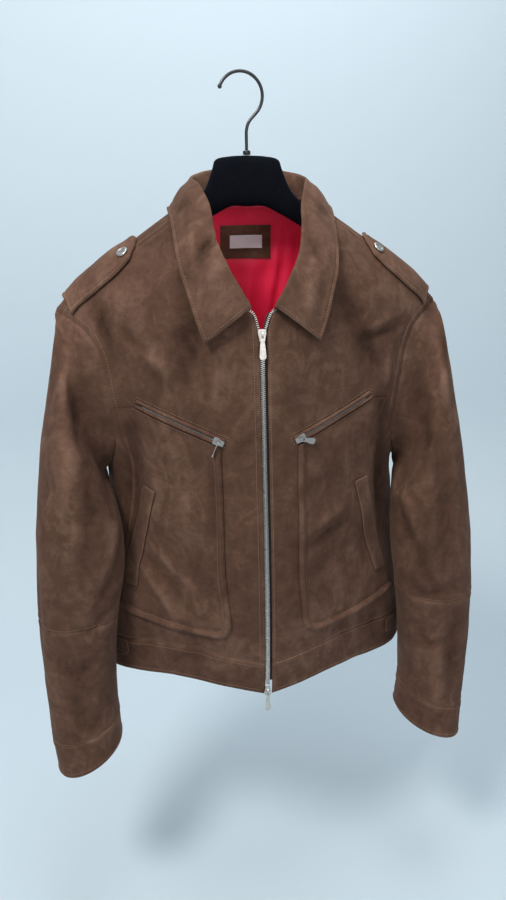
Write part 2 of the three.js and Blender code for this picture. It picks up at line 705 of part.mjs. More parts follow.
// The slanted chest zip, from its lower inner end to its upper outer end.
const CHEST_ZIP = { from: { x: 41, z: -403 }, to: { x: 140, z: -360 } };
const chestLength = Math.hypot(CHEST_ZIP.to.x - CHEST_ZIP.from.x, CHEST_ZIP.to.z - CHEST_ZIP.from.z);
const chestSlope = Math.atan2(CHEST_ZIP.to.z - CHEST_ZIP.from.z, CHEST_ZIP.to.x - CHEST_ZIP.from.x);

// A point beside the chest zip: so far along it, and so far above it.
const besideChestZip = (on, above) => ({
  x: CHEST_ZIP.from.x + on * Math.cos(chestSlope) - above * Math.sin(chestSlope),
  z: CHEST_ZIP.from.z + on * Math.sin(chestSlope) + above * Math.cos(chestSlope),
});
const chestStrip = (low, high, inset) =>
  [low, high].map((above) =>
    shares(8).map((u) => besideChestZip(mix(inset, chestLength - inset, u), above)),
  );
addOnFronts("chest_welt_upper", chestStrip(0.8, 5.7, 0), WELT_WALL, WELT_LIFT, suede);
addOnFronts("chest_welt_lower", chestStrip(-5.3, -0.8, 0), WELT_WALL, WELT_LIFT, suede);
addOnFronts("chest_zip_chain", chestStrip(-0.45, 0.45, 9), 0.9, 1.7, silver);

// The patch pocket runs from under the chest zip to above the hem, and back to the side seam.
const POCKET_INNER = 44;
const POCKET_CORNER = 20;
const POCKET_BOTTOM = -652;
const POCKET_SIDE_BOTTOM = -644;
const POCKET_SIDE_TOP = -368;
// The pocket's outer edge, under the sleeve.
const POCKET_SIDE = [
  { z: -644, x: 183 },
  { z: -606, x: 175.5 },
  { z: -560, x: 167 },
  { z: -510, x: 159 },
  { z: -450, x: 153 },
  { z: -400, x: 158 },
  { z: -368, x: 165 },
];
const pocketSide = (z) => read(POCKET_SIDE, "z", "x", z);
const pocketTopStart = besideChestZip(1, -6.4);
const pocketTopBend = besideChestZip(chestLength + 1, -6.4);
const pocketGrid = fill(
  shares(8).map((u) => ({
    x: mix(POCKET_INNER + POCKET_CORNER, pocketSide(POCKET_SIDE_BOTTOM), u),
    z: mix(POCKET_BOTTOM, POCKET_SIDE_BOTTOM, u),
  })),
  [
    ...shares(6).map((u) => mixPoint(pocketTopStart, pocketTopBend, u)),
    ...[0.5, 1].map((u) => ({
      x: mix(pocketTopBend.x, pocketSide(POCKET_SIDE_TOP), u),
      z: mix(pocketTopBend.z, POCKET_SIDE_TOP, u),
    })),
  ],
  shares(12).map((v) => {
    const turn = Math.min(v * 6, 1) * (Math.PI / 2);
    const rise = Math.max(0, (v - 1 / 6) / (5 / 6));
    const x = POCKET_INNER + POCKET_CORNER * (1 - Math.sin(turn));
    const z = POCKET_BOTTOM + POCKET_CORNER * (1 - Math.cos(turn));
    return { x: mix(x, pocketTopStart.x, rise), z: mix(z, pocketTopStart.z, rise) };
  }),
  shares(12).map((v) => {
    const z = mix(POCKET_SIDE_BOTTOM, POCKET_SIDE_TOP, v);
    return { x: pocketSide(z), z };
  }),
);
addOnFronts("patch_pocket", pocketGrid, SUEDE, POCKET_LIFT, suede);

// The hand pocket's welt, from its top to its bottom.
const HAND_WELT = [
  { z: -465, inner: 119, outer: 135 },
  { z: -505, inner: 129, outer: 145 },
  { z: -550, inner: 140, outer: 157 },
  { z: -580, inner: 148, outer: 165 },
  { z: -604, inner: 154, outer: 170 },
];
const HAND_WELT_SLANT = 5; // its outer corner stands higher than its inner corner at the top
const handWelt = shares(10).map((v) => {
  const z = mix(HAND_WELT.at(-1).z, HAND_WELT[0].z, v);
  return shares(2).map((u) => {
    const x = mix(read(HAND_WELT, "z", "inner", z), read(HAND_WELT, "z", "outer", z), u);
    return { x, z: z + HAND_WELT_SLANT * (u - 0.5) * v };
  });
});
addOnFronts("hand_welt", handWelt, WELT_WALL, POCKET_LIFT + WELT_WALL + 0.7, suede);

// ---------- side tabs on the hem band ----------
const TAB_BOTTOM = -714;
const TAB_TOP = -689;
const TAB_START = 177;
const TAB_CORNER = 7;
const TAB_SLOPE = 0.4; // it falls with the hem toward the side
const sideTab = shares(4).map((v) =>
  shares(6).map((u) => {
    const z = mix(TAB_BOTTOM, TAB_TOP, v);
    const round = TAB_CORNER * (1 - Math.sqrt(Math.max(0, 1 - Math.pow(2 * v - 1, 4))));
    const x = mix(TAB_START + round, 0.965 * halfWidth(z), roundSpacing(u));
    return onBody({ x, z: z - TAB_SLOPE * (x - TAB_START) }, "front");
  }),
);
addPair("side_tab", sideTab, SUEDE, suede, { lift: BAND_LIFT + SUEDE + 0.8, seam: 0 });

// ---------- the front zip ----------
const CHAIN_X = -1.4; // the chain lies nearer to the wearer's right edge
const TAPE_WIDTH = 13;
const TAPE_WALL = 0.8;
const TAPE_LIFT = -(DOUBLE_SUEDE - BAND_LIFT) - 1.2;
const CHAIN_TOP = -284;
const CHAIN_BOTTOM = -722;
const CHAIN_LIFT = 0.6;
for (const [side, sign] of [["left", 1], ["right", -1]]) {
  const rows = frontEdge.slice(0, 9).map((edge) => {
    const parted = edge.x - FRONT_EDGE;
    return [0, 0.5, 1].map((u) => {
      const x = sign * CHAIN_X + 0.3 + mix(parted * 0.9, TAPE_WIDTH, u);
      return onBody({ x, z: edge.z - (edge === frontEdge[0] ? BAND - 5 : 0) }, "front");
    });
  });
  const grid = sign > 0 ? rows : mirrored(rows);
  add("zip_tape_" + side, wall([grid], TAPE_WALL, { lift: TAPE_LIFT, seam: 0 }), tapeCloth);
}
const chainGrid = shares(16).map((v) =>
  [-0.5, 0.5].map((u) =>
    onBody({ x: CHAIN_X + u * CHAIN_WIDTH, z: mix(CHAIN_BOTTOM, CHAIN_TOP, v) }, "front"),
  ),
);
add("zip_chain", wall([chainGrid], CHAIN_LIFT - TAPE_LIFT - 0.3, { lift: CHAIN_LIFT, seam: 0 }), silver);

// ---------- sliders and pulls ----------
// Each is made lying in X and Y, with Z out of the garment, and then placed on it.
const PLATE = 1.4;
const ARCH_INNER = 2.4;
const ARCH_OUTER = 3.4;
const ARCH_WIDTH = 1.6;
const BAR_RISE = 1.4; // the pull's bar above the slider's plate
const PULL_WALL = 1;
const EYE_HALF = 2.6;
const EYE_RADIUS = 1.4;
const PULL_LENGTH = 27; // the front zip's
const CHEST_PULL_LENGTH = 18;

function extruded(shape, depthOfIt, from = 0) {
  const settings = { depth: depthOfIt, bevelEnabled: false, curveSegments: 6 };
  const geometry = new THREE.ExtrudeGeometry(shape, settings);
  return geometry.translate(0, 0, from);
}

function outline(points) {
  return new THREE.Shape(points.map(([x, y]) => new THREE.Vector2(x, y)));
}

// The arch runs along Y, turned about Z.
function sliderGeometry(turn = 0) {
  const plate = outline([
    [-4.5, 4.5], [-3.6, 6.5], [3.6, 6.5], [4.5, 4.5], [4.5, 1.5],
    [3.2, -4], [3.2, -6.5], [-3.2, -6.5], [-3.2, -4], [-4.5, 1.5],
  ]);
  const arch = new THREE.Shape();
  arch.absarc(0, 0, ARCH_OUTER, 0, Math.PI, false);
  arch.absarc(0, 0, ARCH_INNER, Math.PI, 0, true);
  const wire = extruded(arch, ARCH_WIDTH, -ARCH_WIDTH / 2)
    .rotateX(Math.PI / 2)
    .rotateZ(Math.PI / 2 + turn)
    .translate(0, 0, PLATE - 0.2);
  return joined(extruded(plate, PLATE), wire);
}

// A flat pull that hangs down -Y from a bar along X.
function flatPull(length) {
  const shape = outline([
    [-EYE_HALF, 0.55], [EYE_HALF, 0.55], [EYE_HALF, -4.6], [2.2, -6], [3.3, -length * 0.6],
    [3.75, -length + 4], [3.3, -length + 1.6], [1.8, -length + 0.3], [-1.8, -length + 0.3],
    [-3.3, -length + 1.6], [-3.75, -length + 4], [-3.3, -length * 0.6], [-2.2, -6], [-EYE_HALF, -4.6],
  ]);
  const eye = outline([[-1.3, -0.55], [-1.3, -4.2], [1.3, -4.2], [1.3, -0.55]]);
  shape.holes.push(eye);
  return extruded(shape, PULL_WALL, -PULL_WALL / 2);
}

// A pull seen on edge, hung down -Y by a round eye from a wire along X.
function edgePull(length) {
  const shape = outline([
    [-2.4, 0.6], [-1.5, 2], [1.5, 2], [2.4, 0.6], [2.4, -1], [1.7, -2.6], [2.6, -length * 0.6],
    [3, -length + 4], [1.6, -length], [-1.6, -length], [-3, -length + 4], [-2.6, -length * 0.6],
    [-1.7, -2.6], [-2.4, -1],
  ]);
  const eye = Array.from({ length: 10 }, (_, k) => {
    const turn = (2 * Math.PI * k) / 10;
    return new THREE.Vector2(EYE_RADIUS * Math.cos(turn), EYE_RADIUS * Math.sin(turn));
  });
  shape.holes.push(new THREE.Path(eye));
  return extruded(shape, PULL_WALL, -PULL_WALL / 2).rotateY(Math.PI / 2);
}

// Places a piece on the front. Its Z looks out of the cloth and its Y is turned from upright.
function placed(geometry, { x, z, lift, turn = 0 }) {
  const out = outward(x, z, "front");
  const side = new THREE.Vector3(0, 0, 1).cross(out).normalize();
  const up = out.clone().cross(side);
  const frame = new THREE.Matrix4().makeBasis(side, up, out).setPosition(lifted(x, z, lift));
  return geometry.rotateZ(turn).applyMatrix4(frame);
}

const SLIDER_LIFT = CHAIN_LIFT + 0.8;
const CHEST_SLIDER_LIFT = WELT_LIFT + 0.4;
const UPRIGHT = Math.PI / 2;
const chestSlider = besideChestZip(6, 0);
const CHEST_PULL_DROOP = THREE.MathUtils.degToRad(15); // below level, on the wearer's left
const rightWard = UPRIGHT - CHEST_PULL_DROOP;
const topSlider = { x: CHAIN_X, z: -281.5, lift: SLIDER_LIFT };
const bottomSlider = { x: CHAIN_X, z: -730, lift: SLIDER_LIFT };
const BOTTOM_PULL_LEAN = THREE.MathUtils.degToRad(9); // it hangs upright from the sloping cloth
const chestLeft = { x: chestSlider.x + sway(chestSlider.z), z: chestSlider.z, lift: CHEST_SLIDER_LIFT };
const chestRight = { ...chestLeft, x: sway(chestSlider.z) - chestSlider.x };
const raised = (place, rise) => ({ ...place, lift: place.lift + rise });

add("slider_top", placed(sliderGeometry(), topSlider), silver);
add("pull_top", placed(flatPull(PULL_LENGTH), raised(topSlider, PLATE + BAR_RISE)), silver);
add("slider_bottom", placed(sliderGeometry(), { ...bottomSlider, turn: Math.PI }), silver);
add(
  "pull_bottom",
  placed(flatPull(PULL_LENGTH).rotateX(-BOTTOM_PULL_LEAN), raised(bottomSlider, PLATE + BAR_RISE)),
  silver,
);
add(
  "slider_chest_left",
  placed(sliderGeometry(rightWard - (chestSlope - UPRIGHT)), { ...chestLeft, turn: chestSlope - UPRIGHT }),
  silver,
);
add(
  "pull_chest_left",
  placed(flatPull(CHEST_PULL_LENGTH), { ...raised(chestLeft, PLATE + BAR_RISE), turn: rightWard }),
  silver,
);
add("slider_chest_right", placed(sliderGeometry(), { ...chestRight, turn: UPRIGHT - chestSlope }), silver);
add(
  "pull_chest_right",
  placed(edgePull(CHEST_PULL_LENGTH), {
    ...raised(chestRight, PLATE - 0.2 + (ARCH_INNER + ARCH_OUTER) / 2),
    turn: -chestSlope,
  }),
  silver,
);

// ---------- snaps ----------
const SNAP_PLACE = { x: 149, y: -27 };
const snapProfile = [[0, 0], [0.5, 0], [0.5, 0.8], [0.47, 1.5], [0.4, 1.9], [0.34, 1.7], [0, 1.7]];
for (const [side, sign] of [["left", 1], ["right", -1]]) {
  const foot = onCloth(SNAP_PLACE, "above", STRAP_LIFT + 0.5);
  const out = onCloth(SNAP_PLACE, "above", 1).sub(onCloth(SNAP_PLACE, "above", 0));
  const profile = snapProfile.map(([r, z]) => new THREE.Vector2(r * SNAP_DIAMETER, z));
  const snap = new THREE.LatheGeometry(profile, 16);
  const lean = new THREE.Quaternion().setFromUnitVectors(new THREE.Vector3(0, 1, 0), out.normalize());
  snap.applyQuaternion(lean);
  snap.translate(foot.x, foot.y, foot.z);
  const geometry = joined(snap);
  add("snap_" + side, sign > 0 ? geometry : joined(reflected(geometry)), silver);
}

// ---------- the label patch inside the back neck ----------
const LABEL_PATCH = { left: -33, right: 32, bottom: -201, top: -160 };
const LABEL = { left: -21, right: 21, bottom: -188, top: -172 };
const labelGrid = (box, columns, levels) =>
  shares(levels).map((v) => {
    const z = mix(box.bottom, box.top, v);
    return shares(columns).map((u) => onCloth({ x: mix(box.left, box.right, u), z }, "back"));
  });
const PATCH_WALL = 1.2;
const PATCH_LIFT = LINING_LIFT - LINING - 0.8;
const LABEL_WALL = 0.6;
const LABEL_LIFT = PATCH_LIFT - PATCH_WALL - 0.5;
const patchGrid = labelGrid(LABEL_PATCH, 6, 3);
const patchWall = wall([patchGrid], PATCH_WALL, { lift: PATCH_LIFT, flip: true, seam: 0 });
const labelWall = wall([labelGrid(LABEL, 4, 2)], LABEL_WALL, { lift: LABEL_LIFT, flip: true, seam: 0 });
add("label_patch", patchWall, suede);
add("label", labelWall, labelCloth);

// ---------- the hanger ----------
// From its middle plate out along one arm. deep: half its size from front to back.
const ARM = [
  { x: 0, top: -86, bottom: -142, y: 0, deep: 7 },
  { x: 20, top: -87, bottom: -142, y: 0, deep: 7 },
  { x: 37, top: -91, bottom: -150, y: 0, deep: 7 },
  { x: 41, top: -101, bottom: -152, y: 0, deep: 7.5 },
  { x: 50, top: -122, bottom: -157, y: -1, deep: 8 },
  { x: 60, top: -134, bottom: -163, y: -2, deep: 7.5 },
  { x: 82, top: -153, bottom: -176, y: -3, deep: 8.5 },
  { x: 110, top: -170, bottom: -194, y: -3, deep: 11 },
  { x: 136, top: -188, bottom: -213, y: -4, deep: 12 },
  { x: 163, top: -205, bottom: -232, y: -5, deep: 13 },
  { x: 184, top: -220, bottom: -247, y: -6, deep: 12 },
  { x: 196, top: -232, bottom: -256, y: -6, deep: 9 },
];
const armHalf = ARM.map((row) => ({ ...row, x: -row.x })).reverse();
const armRows = [...armHalf.slice(0, -1), ...ARM];
const SECTION = 12;
const armRings = armRows.map((row) =>
  Array.from({ length: SECTION }, (_, k) => {
    const turn = (2 * Math.PI * k) / SECTION;
    const squarer = (value) => Math.sign(value) * Math.pow(Math.abs(value), 0.7);
    const half = (row.top - row.bottom) / 2;
    const y = row.y - row.deep * squarer(Math.sin(turn));
    return new THREE.Vector3(row.x, y, row.top - half + half * squarer(Math.cos(turn)));
  }),
);
add("hanger", lofted(armRings), velvet, hanger);

const FERRULE_TOP = -81;
const ferrule = new THREE.CylinderGeometry(4.5, 4.5, 4.6, 14).rotateX(Math.PI / 2);
add("hanger_ferrule", ferrule.translate(0, 0, FERRULE_TOP - 2.3), blackMetal, hanger);

const HOOK_RADIUS = 25.15; // to the middle of the wire
const HOOK_CENTRE = { x: -HANGER_X, z: WIRE / 2 - HOOK_RADIUS };
const HOOK_TIP = 158; // degrees round from level, where the ball is
const HOOK_FOOT = -42;
const hookArc = shares(16).map((t) => {
  const angle = THREE.MathUtils.degToRad(mix(HOOK_TIP, HOOK_FOOT, t));
  return new THREE.Vector3(
    HOOK_CENTRE.x + HOOK_RADIUS * Math.cos(angle),
    0,
    HOOK_CENTRE.z + HOOK_RADIUS * Math.sin(angle),
  );
});
const HOOK_STEM = tableOf(["x", "z"], [3, -51], [0.3, -59], [0, -68], [0, FERRULE_TOP + 0.4]);
const hookStem = HOOK_STEM.map(({ x, z }) => new THREE.Vector3(x, 0, z));
const wirePath = new THREE.CatmullRomCurve3([...hookArc, ...hookStem]);
const ball = new THREE.SphereGeometry(2.6, 10, 8).translate(hookArc[0].x, 0, hookArc[0].z);
add("hanger_hook", joined(tube(wirePath, WIRE / 2, 44, 8), ball), blackMetal, hanger);

export default part;
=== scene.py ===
"""A man's suede blouson on a velvet hanger: its looks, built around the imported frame.

Lengths are millimetres in the garment's own frame, whose middle plane lies MIDDLE_X beside the hook,
and set_out() turns them into the frame's metres. The front faces -Y, +Z is up, and the wearer's left
is +X. Each cloth piece is a wall of rounded edge on the pattern's own surface, with its folds.
"""

import math

import bmesh
import bpy
import numpy as np
from mathutils import Matrix, Vector, noise
from mathutils.bvhtree import BVHTree
from mathutils.kdtree import KDTree


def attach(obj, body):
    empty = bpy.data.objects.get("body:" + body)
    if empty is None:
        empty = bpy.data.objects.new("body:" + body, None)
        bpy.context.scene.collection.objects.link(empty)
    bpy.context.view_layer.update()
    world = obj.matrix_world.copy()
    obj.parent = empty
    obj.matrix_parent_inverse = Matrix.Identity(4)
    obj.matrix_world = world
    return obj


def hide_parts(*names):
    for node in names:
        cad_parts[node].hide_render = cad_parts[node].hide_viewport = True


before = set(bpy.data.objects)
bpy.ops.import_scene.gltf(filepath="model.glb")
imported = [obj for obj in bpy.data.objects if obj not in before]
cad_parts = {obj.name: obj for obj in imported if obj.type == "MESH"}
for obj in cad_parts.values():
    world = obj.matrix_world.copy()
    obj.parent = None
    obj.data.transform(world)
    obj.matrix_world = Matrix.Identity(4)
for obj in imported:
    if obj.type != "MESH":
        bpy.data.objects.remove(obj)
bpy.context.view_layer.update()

# ---------- camera, light and room ----------
EYE = (-0.098, -0.846, -0.187)
LENS = 27.04  # on a 36 mm sensor along the long side
YAW, PITCH, ROLL = -7.1, -16.8, 1.0  # degrees: turned to the wearer's left, and looking down


def place_camera():
    data = bpy.data.cameras.new("camera")
    data.lens, data.sensor_width = LENS, 36
    data.clip_start, data.clip_end = 0.02, 50
    camera = bpy.data.objects.new("camera", data)
    bpy.context.scene.collection.objects.link(camera)
    turn = (
        Matrix.Rotation(math.radians(YAW), 4, "Z")
        @ Matrix.Rotation(math.radians(PITCH), 4, "X")
        @ Matrix.Rotation(math.radians(ROLL), 4, "Y")
        @ Matrix.Rotation(math.radians(90), 4, "X")
    )
    camera.matrix_world = Matrix.Translation(EYE) @ turn
    bpy.context.scene.camera = camera


def soft_light(name, place, aim, size, power, color):
    data = bpy.data.lights.new(name, "AREA")
    data.shape, data.size = "DISK", size
    data.energy, data.color = power, color
    lamp = bpy.data.objects.new(name, data)
    bpy.context.scene.collection.objects.link(lamp)
    lamp.location = place
    lamp.rotation_euler = (Vector(aim) - Vector(place)).to_track_quat("-Z", "Y").to_euler()


def light_room():
    middle = (0, 0, -0.45)
    soft_light("key", (-0.9, -1.1, 1.25), middle, 0.55, 30, (1.0, 0.97, 0.93))
    soft_light("top", (0.1, -0.35, 1.5), middle, 0.9, 14, (0.96, 0.98, 1.0))
    soft_light("fill", (0.5, -2.4, 0.2), middle, 1.6, 9, (1.0, 0.97, 0.95))
    soft_light("behind", (0.3, 0.9, 1.2), (0, 1.1, -0.6), 1.4, 9, (0.97, 0.98, 1.0))
    world = bpy.data.worlds.new("room")
    world.use_nodes = True
    world.node_tree.nodes["Background"].inputs["Color"].default_value = (0.84, 0.90, 0.95, 1)
    world.node_tree.nodes["Background"].inputs["Strength"].default_value = 0.4
    bpy.context.scene.world = world
    bpy.context.scene.view_settings.view_transform = "Standard"


def build_room():
    """A pale floor that turns up into a pale wall, well behind the garment."""
    near, far, floor, wall_top, bend = -3.0, 1.1, -1.15, 2.4, 0.5
    profile = [(near, floor), (far - bend, floor)]
    for step in range(1, 12):
        angle = math.pi / 2 * step / 12
        profile.append((far - bend + bend * math.sin(angle), floor + bend - bend * math.cos(angle)))
    profile += [(far, floor + bend), (far, wall_top)]
    verts = [(x, y, z) for y, z in profile for x in (-4, 4)]
    faces = [(2 * i, 2 * i + 1, 2 * i + 3, 2 * i + 2) for i in range(len(profile) - 1)]
    mesh = bpy.data.meshes.new("room_sweep")
    mesh.from_pydata(verts, [], faces)
    for polygon in mesh.polygons:
        polygon.use_smooth = True
    sweep = bpy.data.objects.new("room_sweep", mesh)
    bpy.context.scene.collection.objects.link(sweep)
    paint = bpy.data.materials.new("room_paint")
    paint.use_nodes = True
    shader = paint.node_tree.nodes["Principled BSDF"]
    shader.inputs["Base Color"].default_value = (0.62, 0.72, 0.78, 1)
    shader.inputs["Roughness"].default_value = 0.9
    mesh.materials.append(paint)


place_camera()
light_room()
build_room()

# ---------- the garment's sizes ----------
MIDDLE_X = 8  # the garment's middle plane, from the hook
HANGER_X = 6
FINE = 8  # quads along each of the pattern's coarse steps
SUEDE = 1.4
DOUBLE_SUEDE = 2.6
LINING_WALL = 0.9
ROUND = 95  # height over which the shoulder turns from its ridge to the upright front or back
SHOULDER_SEAM_DROP = 12
FRONT_EDGE = 4.5  # from the middle of the zip to the folded front edge
BAND = 48
UNDER = 2.6  # between the suede and the lining
HEM_LEVEL = -723
HEM_DIP = 15
HEM_DIP_WIDTH = 95
SIDE_DROP = 20  # the hem hangs this much lower at the sides
SIDE_DROP_START, SIDE_DROP_WIDTH = 120, 80
ZIP_TOP = -282
BACK_NECK_Z = -136
NECK_RIDGE_X = 80


def table(columns, *rows):
    """A short table with named columns, as arrays."""
    return dict(zip(columns.split(), np.array(rows, float).T))


# Rows of the body from hem to neck: half width, and depths at the side seam and the two middles.
BODY = table(
    "z half side front bow back",
    (-745, 217, 26, -113, 1.55, 85),
    (-690, 216, 28, -119, 1.55, 87),
    (-640, 213, 32, -122, 1.6, 88),
    (-580, 208, 40, -122, 1.55, 88),
    (-540, 203, 38, -121, 1.55, 87),
    (-505, 197, 31, -119, 1.6, 86),
    (-480, 192, 23, -117, 1.6, 85),
    (-455, 192, 16, -115, 1.6, 84),
    (-400, 203, 6, -112, 1.6, 80),
    (-350, 215, 0, -109, 1.6, 74),
    (-300, 226, 0, -106, 1.6, 66),
    (-250, 240, 0, -98, 1.6, 58),
    (-200, 250, 0, -85, 1.6, 52),
    (-150, 250, 0, -66, 1.6, 47),
    (-100, 250, 0, -50, 1.6, 44),
)
# The ridge of the shoulder, from the neck out to the sleeve.
RIDGE = table(
    "x z",
    (0, -104),
    (40, -118),
    (80, -139),
    (110, -158),
    (136, -176),
    (163, -192),
    (198, -217),
    (213, -231),
    (224, -243),
    (236, -257),
)
# The armhole seam, seen from the front, from the ridge down to the underarm: x, z.
ARMHOLE = np.array(
    [(236, -257), (229, -260), (209, -271), (194, -285), (184, -307), (179, -340), (175, -377), (174, -408),
     (180, -436), (192, -455)],
    float,
)
# The neck seam, seen from the front, from the top of the zip to the shoulder seam: x, z.
NECK = np.array([(13, -257), (31, -248), (50, -230), (66, -205), (76, -180), (81, -155)], float)
# Sections of a sleeve: where its outer side and its inner side hang, on the wearer's left and right.
SLEEVE = table(
    "out_z out_left out_right out_y in_z in_left in_right in_y front back",
    (-275, 240, 236, -6, -465, 194, 194, 7, 52, 42),
    (-312, 246, 243, -12, -479, 190, 188, -15, 56, 34),
    (-362, 255, 254, -16, -494, 184, 181, -26, 59, 34),
    (-425, 268, 267, -20, -516, 180, 175, -36, 60, 36),
    (-495, 280, 277, -25, -552, 179, 173, -40, 59, 37),
    (-565, 289, 285, -30, -592, 182, 177, -43, 57, 37),
    (-642, 294, 290, -34, -636, 189, 186, -43, 54, 40),
    (-705, 293, 290, -38, -690, 196, 193, -42, 52, 46),
    (-762, 290, 288, -42, -742, 199, 197, -43, 51, 47),
    (-812, 287, 286, -46, -786, 199, 197, -45, 50, 48),
    (-862, 283, 281, -50, -829, 196, 196, -47, 50, 49),
)
ELBOW_RING = 7  # counted from the armhole
CUFF_RING = 10
SIDE_ROWS, ARM_ROWS, BACK_ARM_ROWS, RIDGE_COLUMNS, NECK_COLUMNS = 6, 7, 9, 7, 2
HALF_RING = BACK_ARM_ROWS * FINE
BACK_SPACING = 0.8
SLEEVE_BOW = 0.85


# ---------- curves ----------
def read(rows, key, column, at):
    """A column of a table at values of another column, on a smooth curve through the rows."""
    order = np.argsort(rows[key])
    k, c = rows[key][order], rows[column][order]
    last = len(k) - 1
    here = np.arange(last + 1)
    before, after = np.maximum(here - 1, 0), np.minimum(here + 1, last)
    slope = (c[after] - c[before]) / (k[after] - k[before])
    i = np.clip(np.searchsorted(k, at, side="right") - 1, 0, last - 1)
    span = k[i + 1] - k[i]
    t = np.clip((at - k[i]) / span, 0, 1)
    ease = t * t * (3 - 2 * t)
    bend = slope[i] * t * (1 - t) ** 2 - slope[i + 1] * t * t * (1 - t)
    return c[i] * (1 - ease) + c[i + 1] * ease + span * bend


def shares(steps):
    return np.linspace(0, 1, steps + 1)


def spline(points, at):
    """Points on a smooth curve through the given ones; at runs from 0 to 1, evenly by point."""
    points = np.asarray(points, float)
    rows = np.concatenate([[2 * points[0] - points[1]], points, [2 * points[-1] - points[-2]]])
    step = np.sqrt(np.maximum(np.linalg.norm(np.diff(rows, axis=0), axis=-1), 1e-6))[..., None]
    along = np.asarray(at, float) * (len(points) - 1)
    i = np.clip(along.astype(int), 0, len(points) - 2)
    t = (along - i).reshape(-1, *[1] * (points.ndim - 1))
    a, b, c, d = (rows[i + n] for n in range(4))
    ab, bc, cd = (step[i + n] for n in range(3))
    leave = ((b - a) / ab - (c - a) / (ab + bc) + (c - b) / bc) * bc
    arrive = ((c - b) / bc - (d - b) / (bc + cd) + (d - c) / cd) * bc
    return b + leave * t + (3 * (c - b) - 2 * leave - arrive) * t**2 + (2 * (b - c) + leave + arrive) * t**3


def even(points, at, smooth=True):
    """Points at shares of the length of a curve, or of a chain of straight lines."""
    fine = spline(points, shares(60 * len(points))) if smooth else np.asarray(points, float)
    run = np.r_[0, np.cumsum(np.linalg.norm(np.diff(fine, axis=0), axis=1))]
    return np.column_stack([np.interp(np.asarray(at) * run[-1], run, axis) for axis in fine.T])


def line(a, b, steps):
    return np.asarray(a, float) + (np.asarray(b, float) - a) * shares(steps)[:, None]


# ---------- the body's own surface ----------
def ridge(x):
    return read(RIDGE, "x", "z", np.abs(x))


def half_width(z):
    return read(BODY, "z", "half", z)


def depth(x, z, face):
    """Depth of the body's outer face, "front" or "back"."""
    side, middle = read(BODY, "z", "side", z), read(BODY, "z", face, z)
    bow = read(BODY, "z", "bow", z) if face == "front" else 2
    out = np.minimum(np.abs(x) / half_width(z), 1)
    full = side + (middle - side) * (1 - out**bow) ** (1 / bow)
    below = np.clip((ridge(x) - z) / ROUND, 0, 1)
    return full * np.sqrt(1 - (1 - below) ** 2)


def on_body(points, face="front"):
    """Points of x and z, set on the body."""
    points = np.asarray(points, float)
    x, z = points[..., 0], points[..., 1]
    return np.stack([x, depth(x, z, face), z], -1)


def fill(bottom, top, left, right):
    """A patch of points between four edges; rows run from bottom to top."""
    u = shares(len(bottom) - 1)[None, :, None]
    v = shares(len(left) - 1)[:, None, None]
    corners = (1 - v) * ((1 - u) * bottom[0] + u * bottom[-1]) + v * ((1 - u) * top[0] + u * top[-1])
    return (1 - v) * bottom[None] + v * top[None] + (1 - u) * left[:, None] + u * right[:, None] - corners


def mirrored(grid):
    return grid[:, ::-1] * (-1, 1, 1)


def whole(half):
    return np.concatenate([mirrored(half)[:, :-1], half], axis=1)


# ---------- the panels ----------
SIDE_LEVEL = HEM_LEVEL - SIDE_DROP


def hem_edge(x, face):
    dip = HEM_DIP if face == "front" else 0
    at_side = np.clip((x - SIDE_DROP_START) / SIDE_DROP_WIDTH, 0, 1) ** 1.3
    return HEM_LEVEL - dip * np.maximum(0, 1 - x / HEM_DIP_WIDTH) ** 1.3 - SIDE_DROP * at_side


def hem_row(columns, face, up):
    start = FRONT_EDGE if face == "front" else 0
    x = start + (half_width(SIDE_LEVEL + up) - start) * np.sin(shares(columns) * math.pi / 2)
    return np.column_stack([x, hem_edge(x, face) + up])


def toward_top(steps, power):
    """Shares that lie closer together towards 1."""
    return 1 - (1 - shares(steps)) ** power


underarm = ARMHOLE[-1]
side_z = np.linspace(SIDE_LEVEL + BAND, underarm[1], SIDE_ROWS * FINE + 1)
side_seam = np.column_stack([half_width(side_z), side_z])
front_armhole = even(ARMHOLE[1:][::-1], toward_top(ARM_ROWS * FINE, 1.3))
back_armhole = even(ARMHOLE[::-1], toward_top(BACK_ARM_ROWS * FINE, 1.6))
armhole_top = ARMHOLE[1] + (ARMHOLE[0] - ARMHOLE[1]) * toward_top(2 * FINE, 2)[:, None]
ridge_x = np.linspace(NECK_RIDGE_X, ARMHOLE[0][0], RIDGE_COLUMNS * FINE + 1)
ridge_line = np.column_stack([ridge_x, ridge(ridge_x)])
seam_x = np.linspace(NECK[-1][0], ARMHOLE[1][0], RIDGE_COLUMNS * FINE + 1)
shoulder_seam = np.column_stack([seam_x, ridge(seam_x) - SHOULDER_SEAM_DROP])
shoulder_seam[-1] = ARMHOLE[1]
neck_corner = np.array([NECK_RIDGE_X, ridge(NECK_RIDGE_X)])
neck_side = neck_corner + (shoulder_seam[0] - neck_corner) * (shares(2 * FINE) ** 2)[:, None]
straight_edge = line((FRONT_EDGE, hem_edge(FRONT_EDGE, "front") + BAND), (FRONT_EDGE, ZIP_TOP), 7 * FINE)
parting = [(FRONT_EDGE, ZIP_TOP), (FRONT_EDGE + 3, ZIP_TOP + 12), *NECK[:-1], shoulder_seam[0]]
front_edge = np.vstack([straight_edge, even(parting, shares(6 * FINE))[1:]])

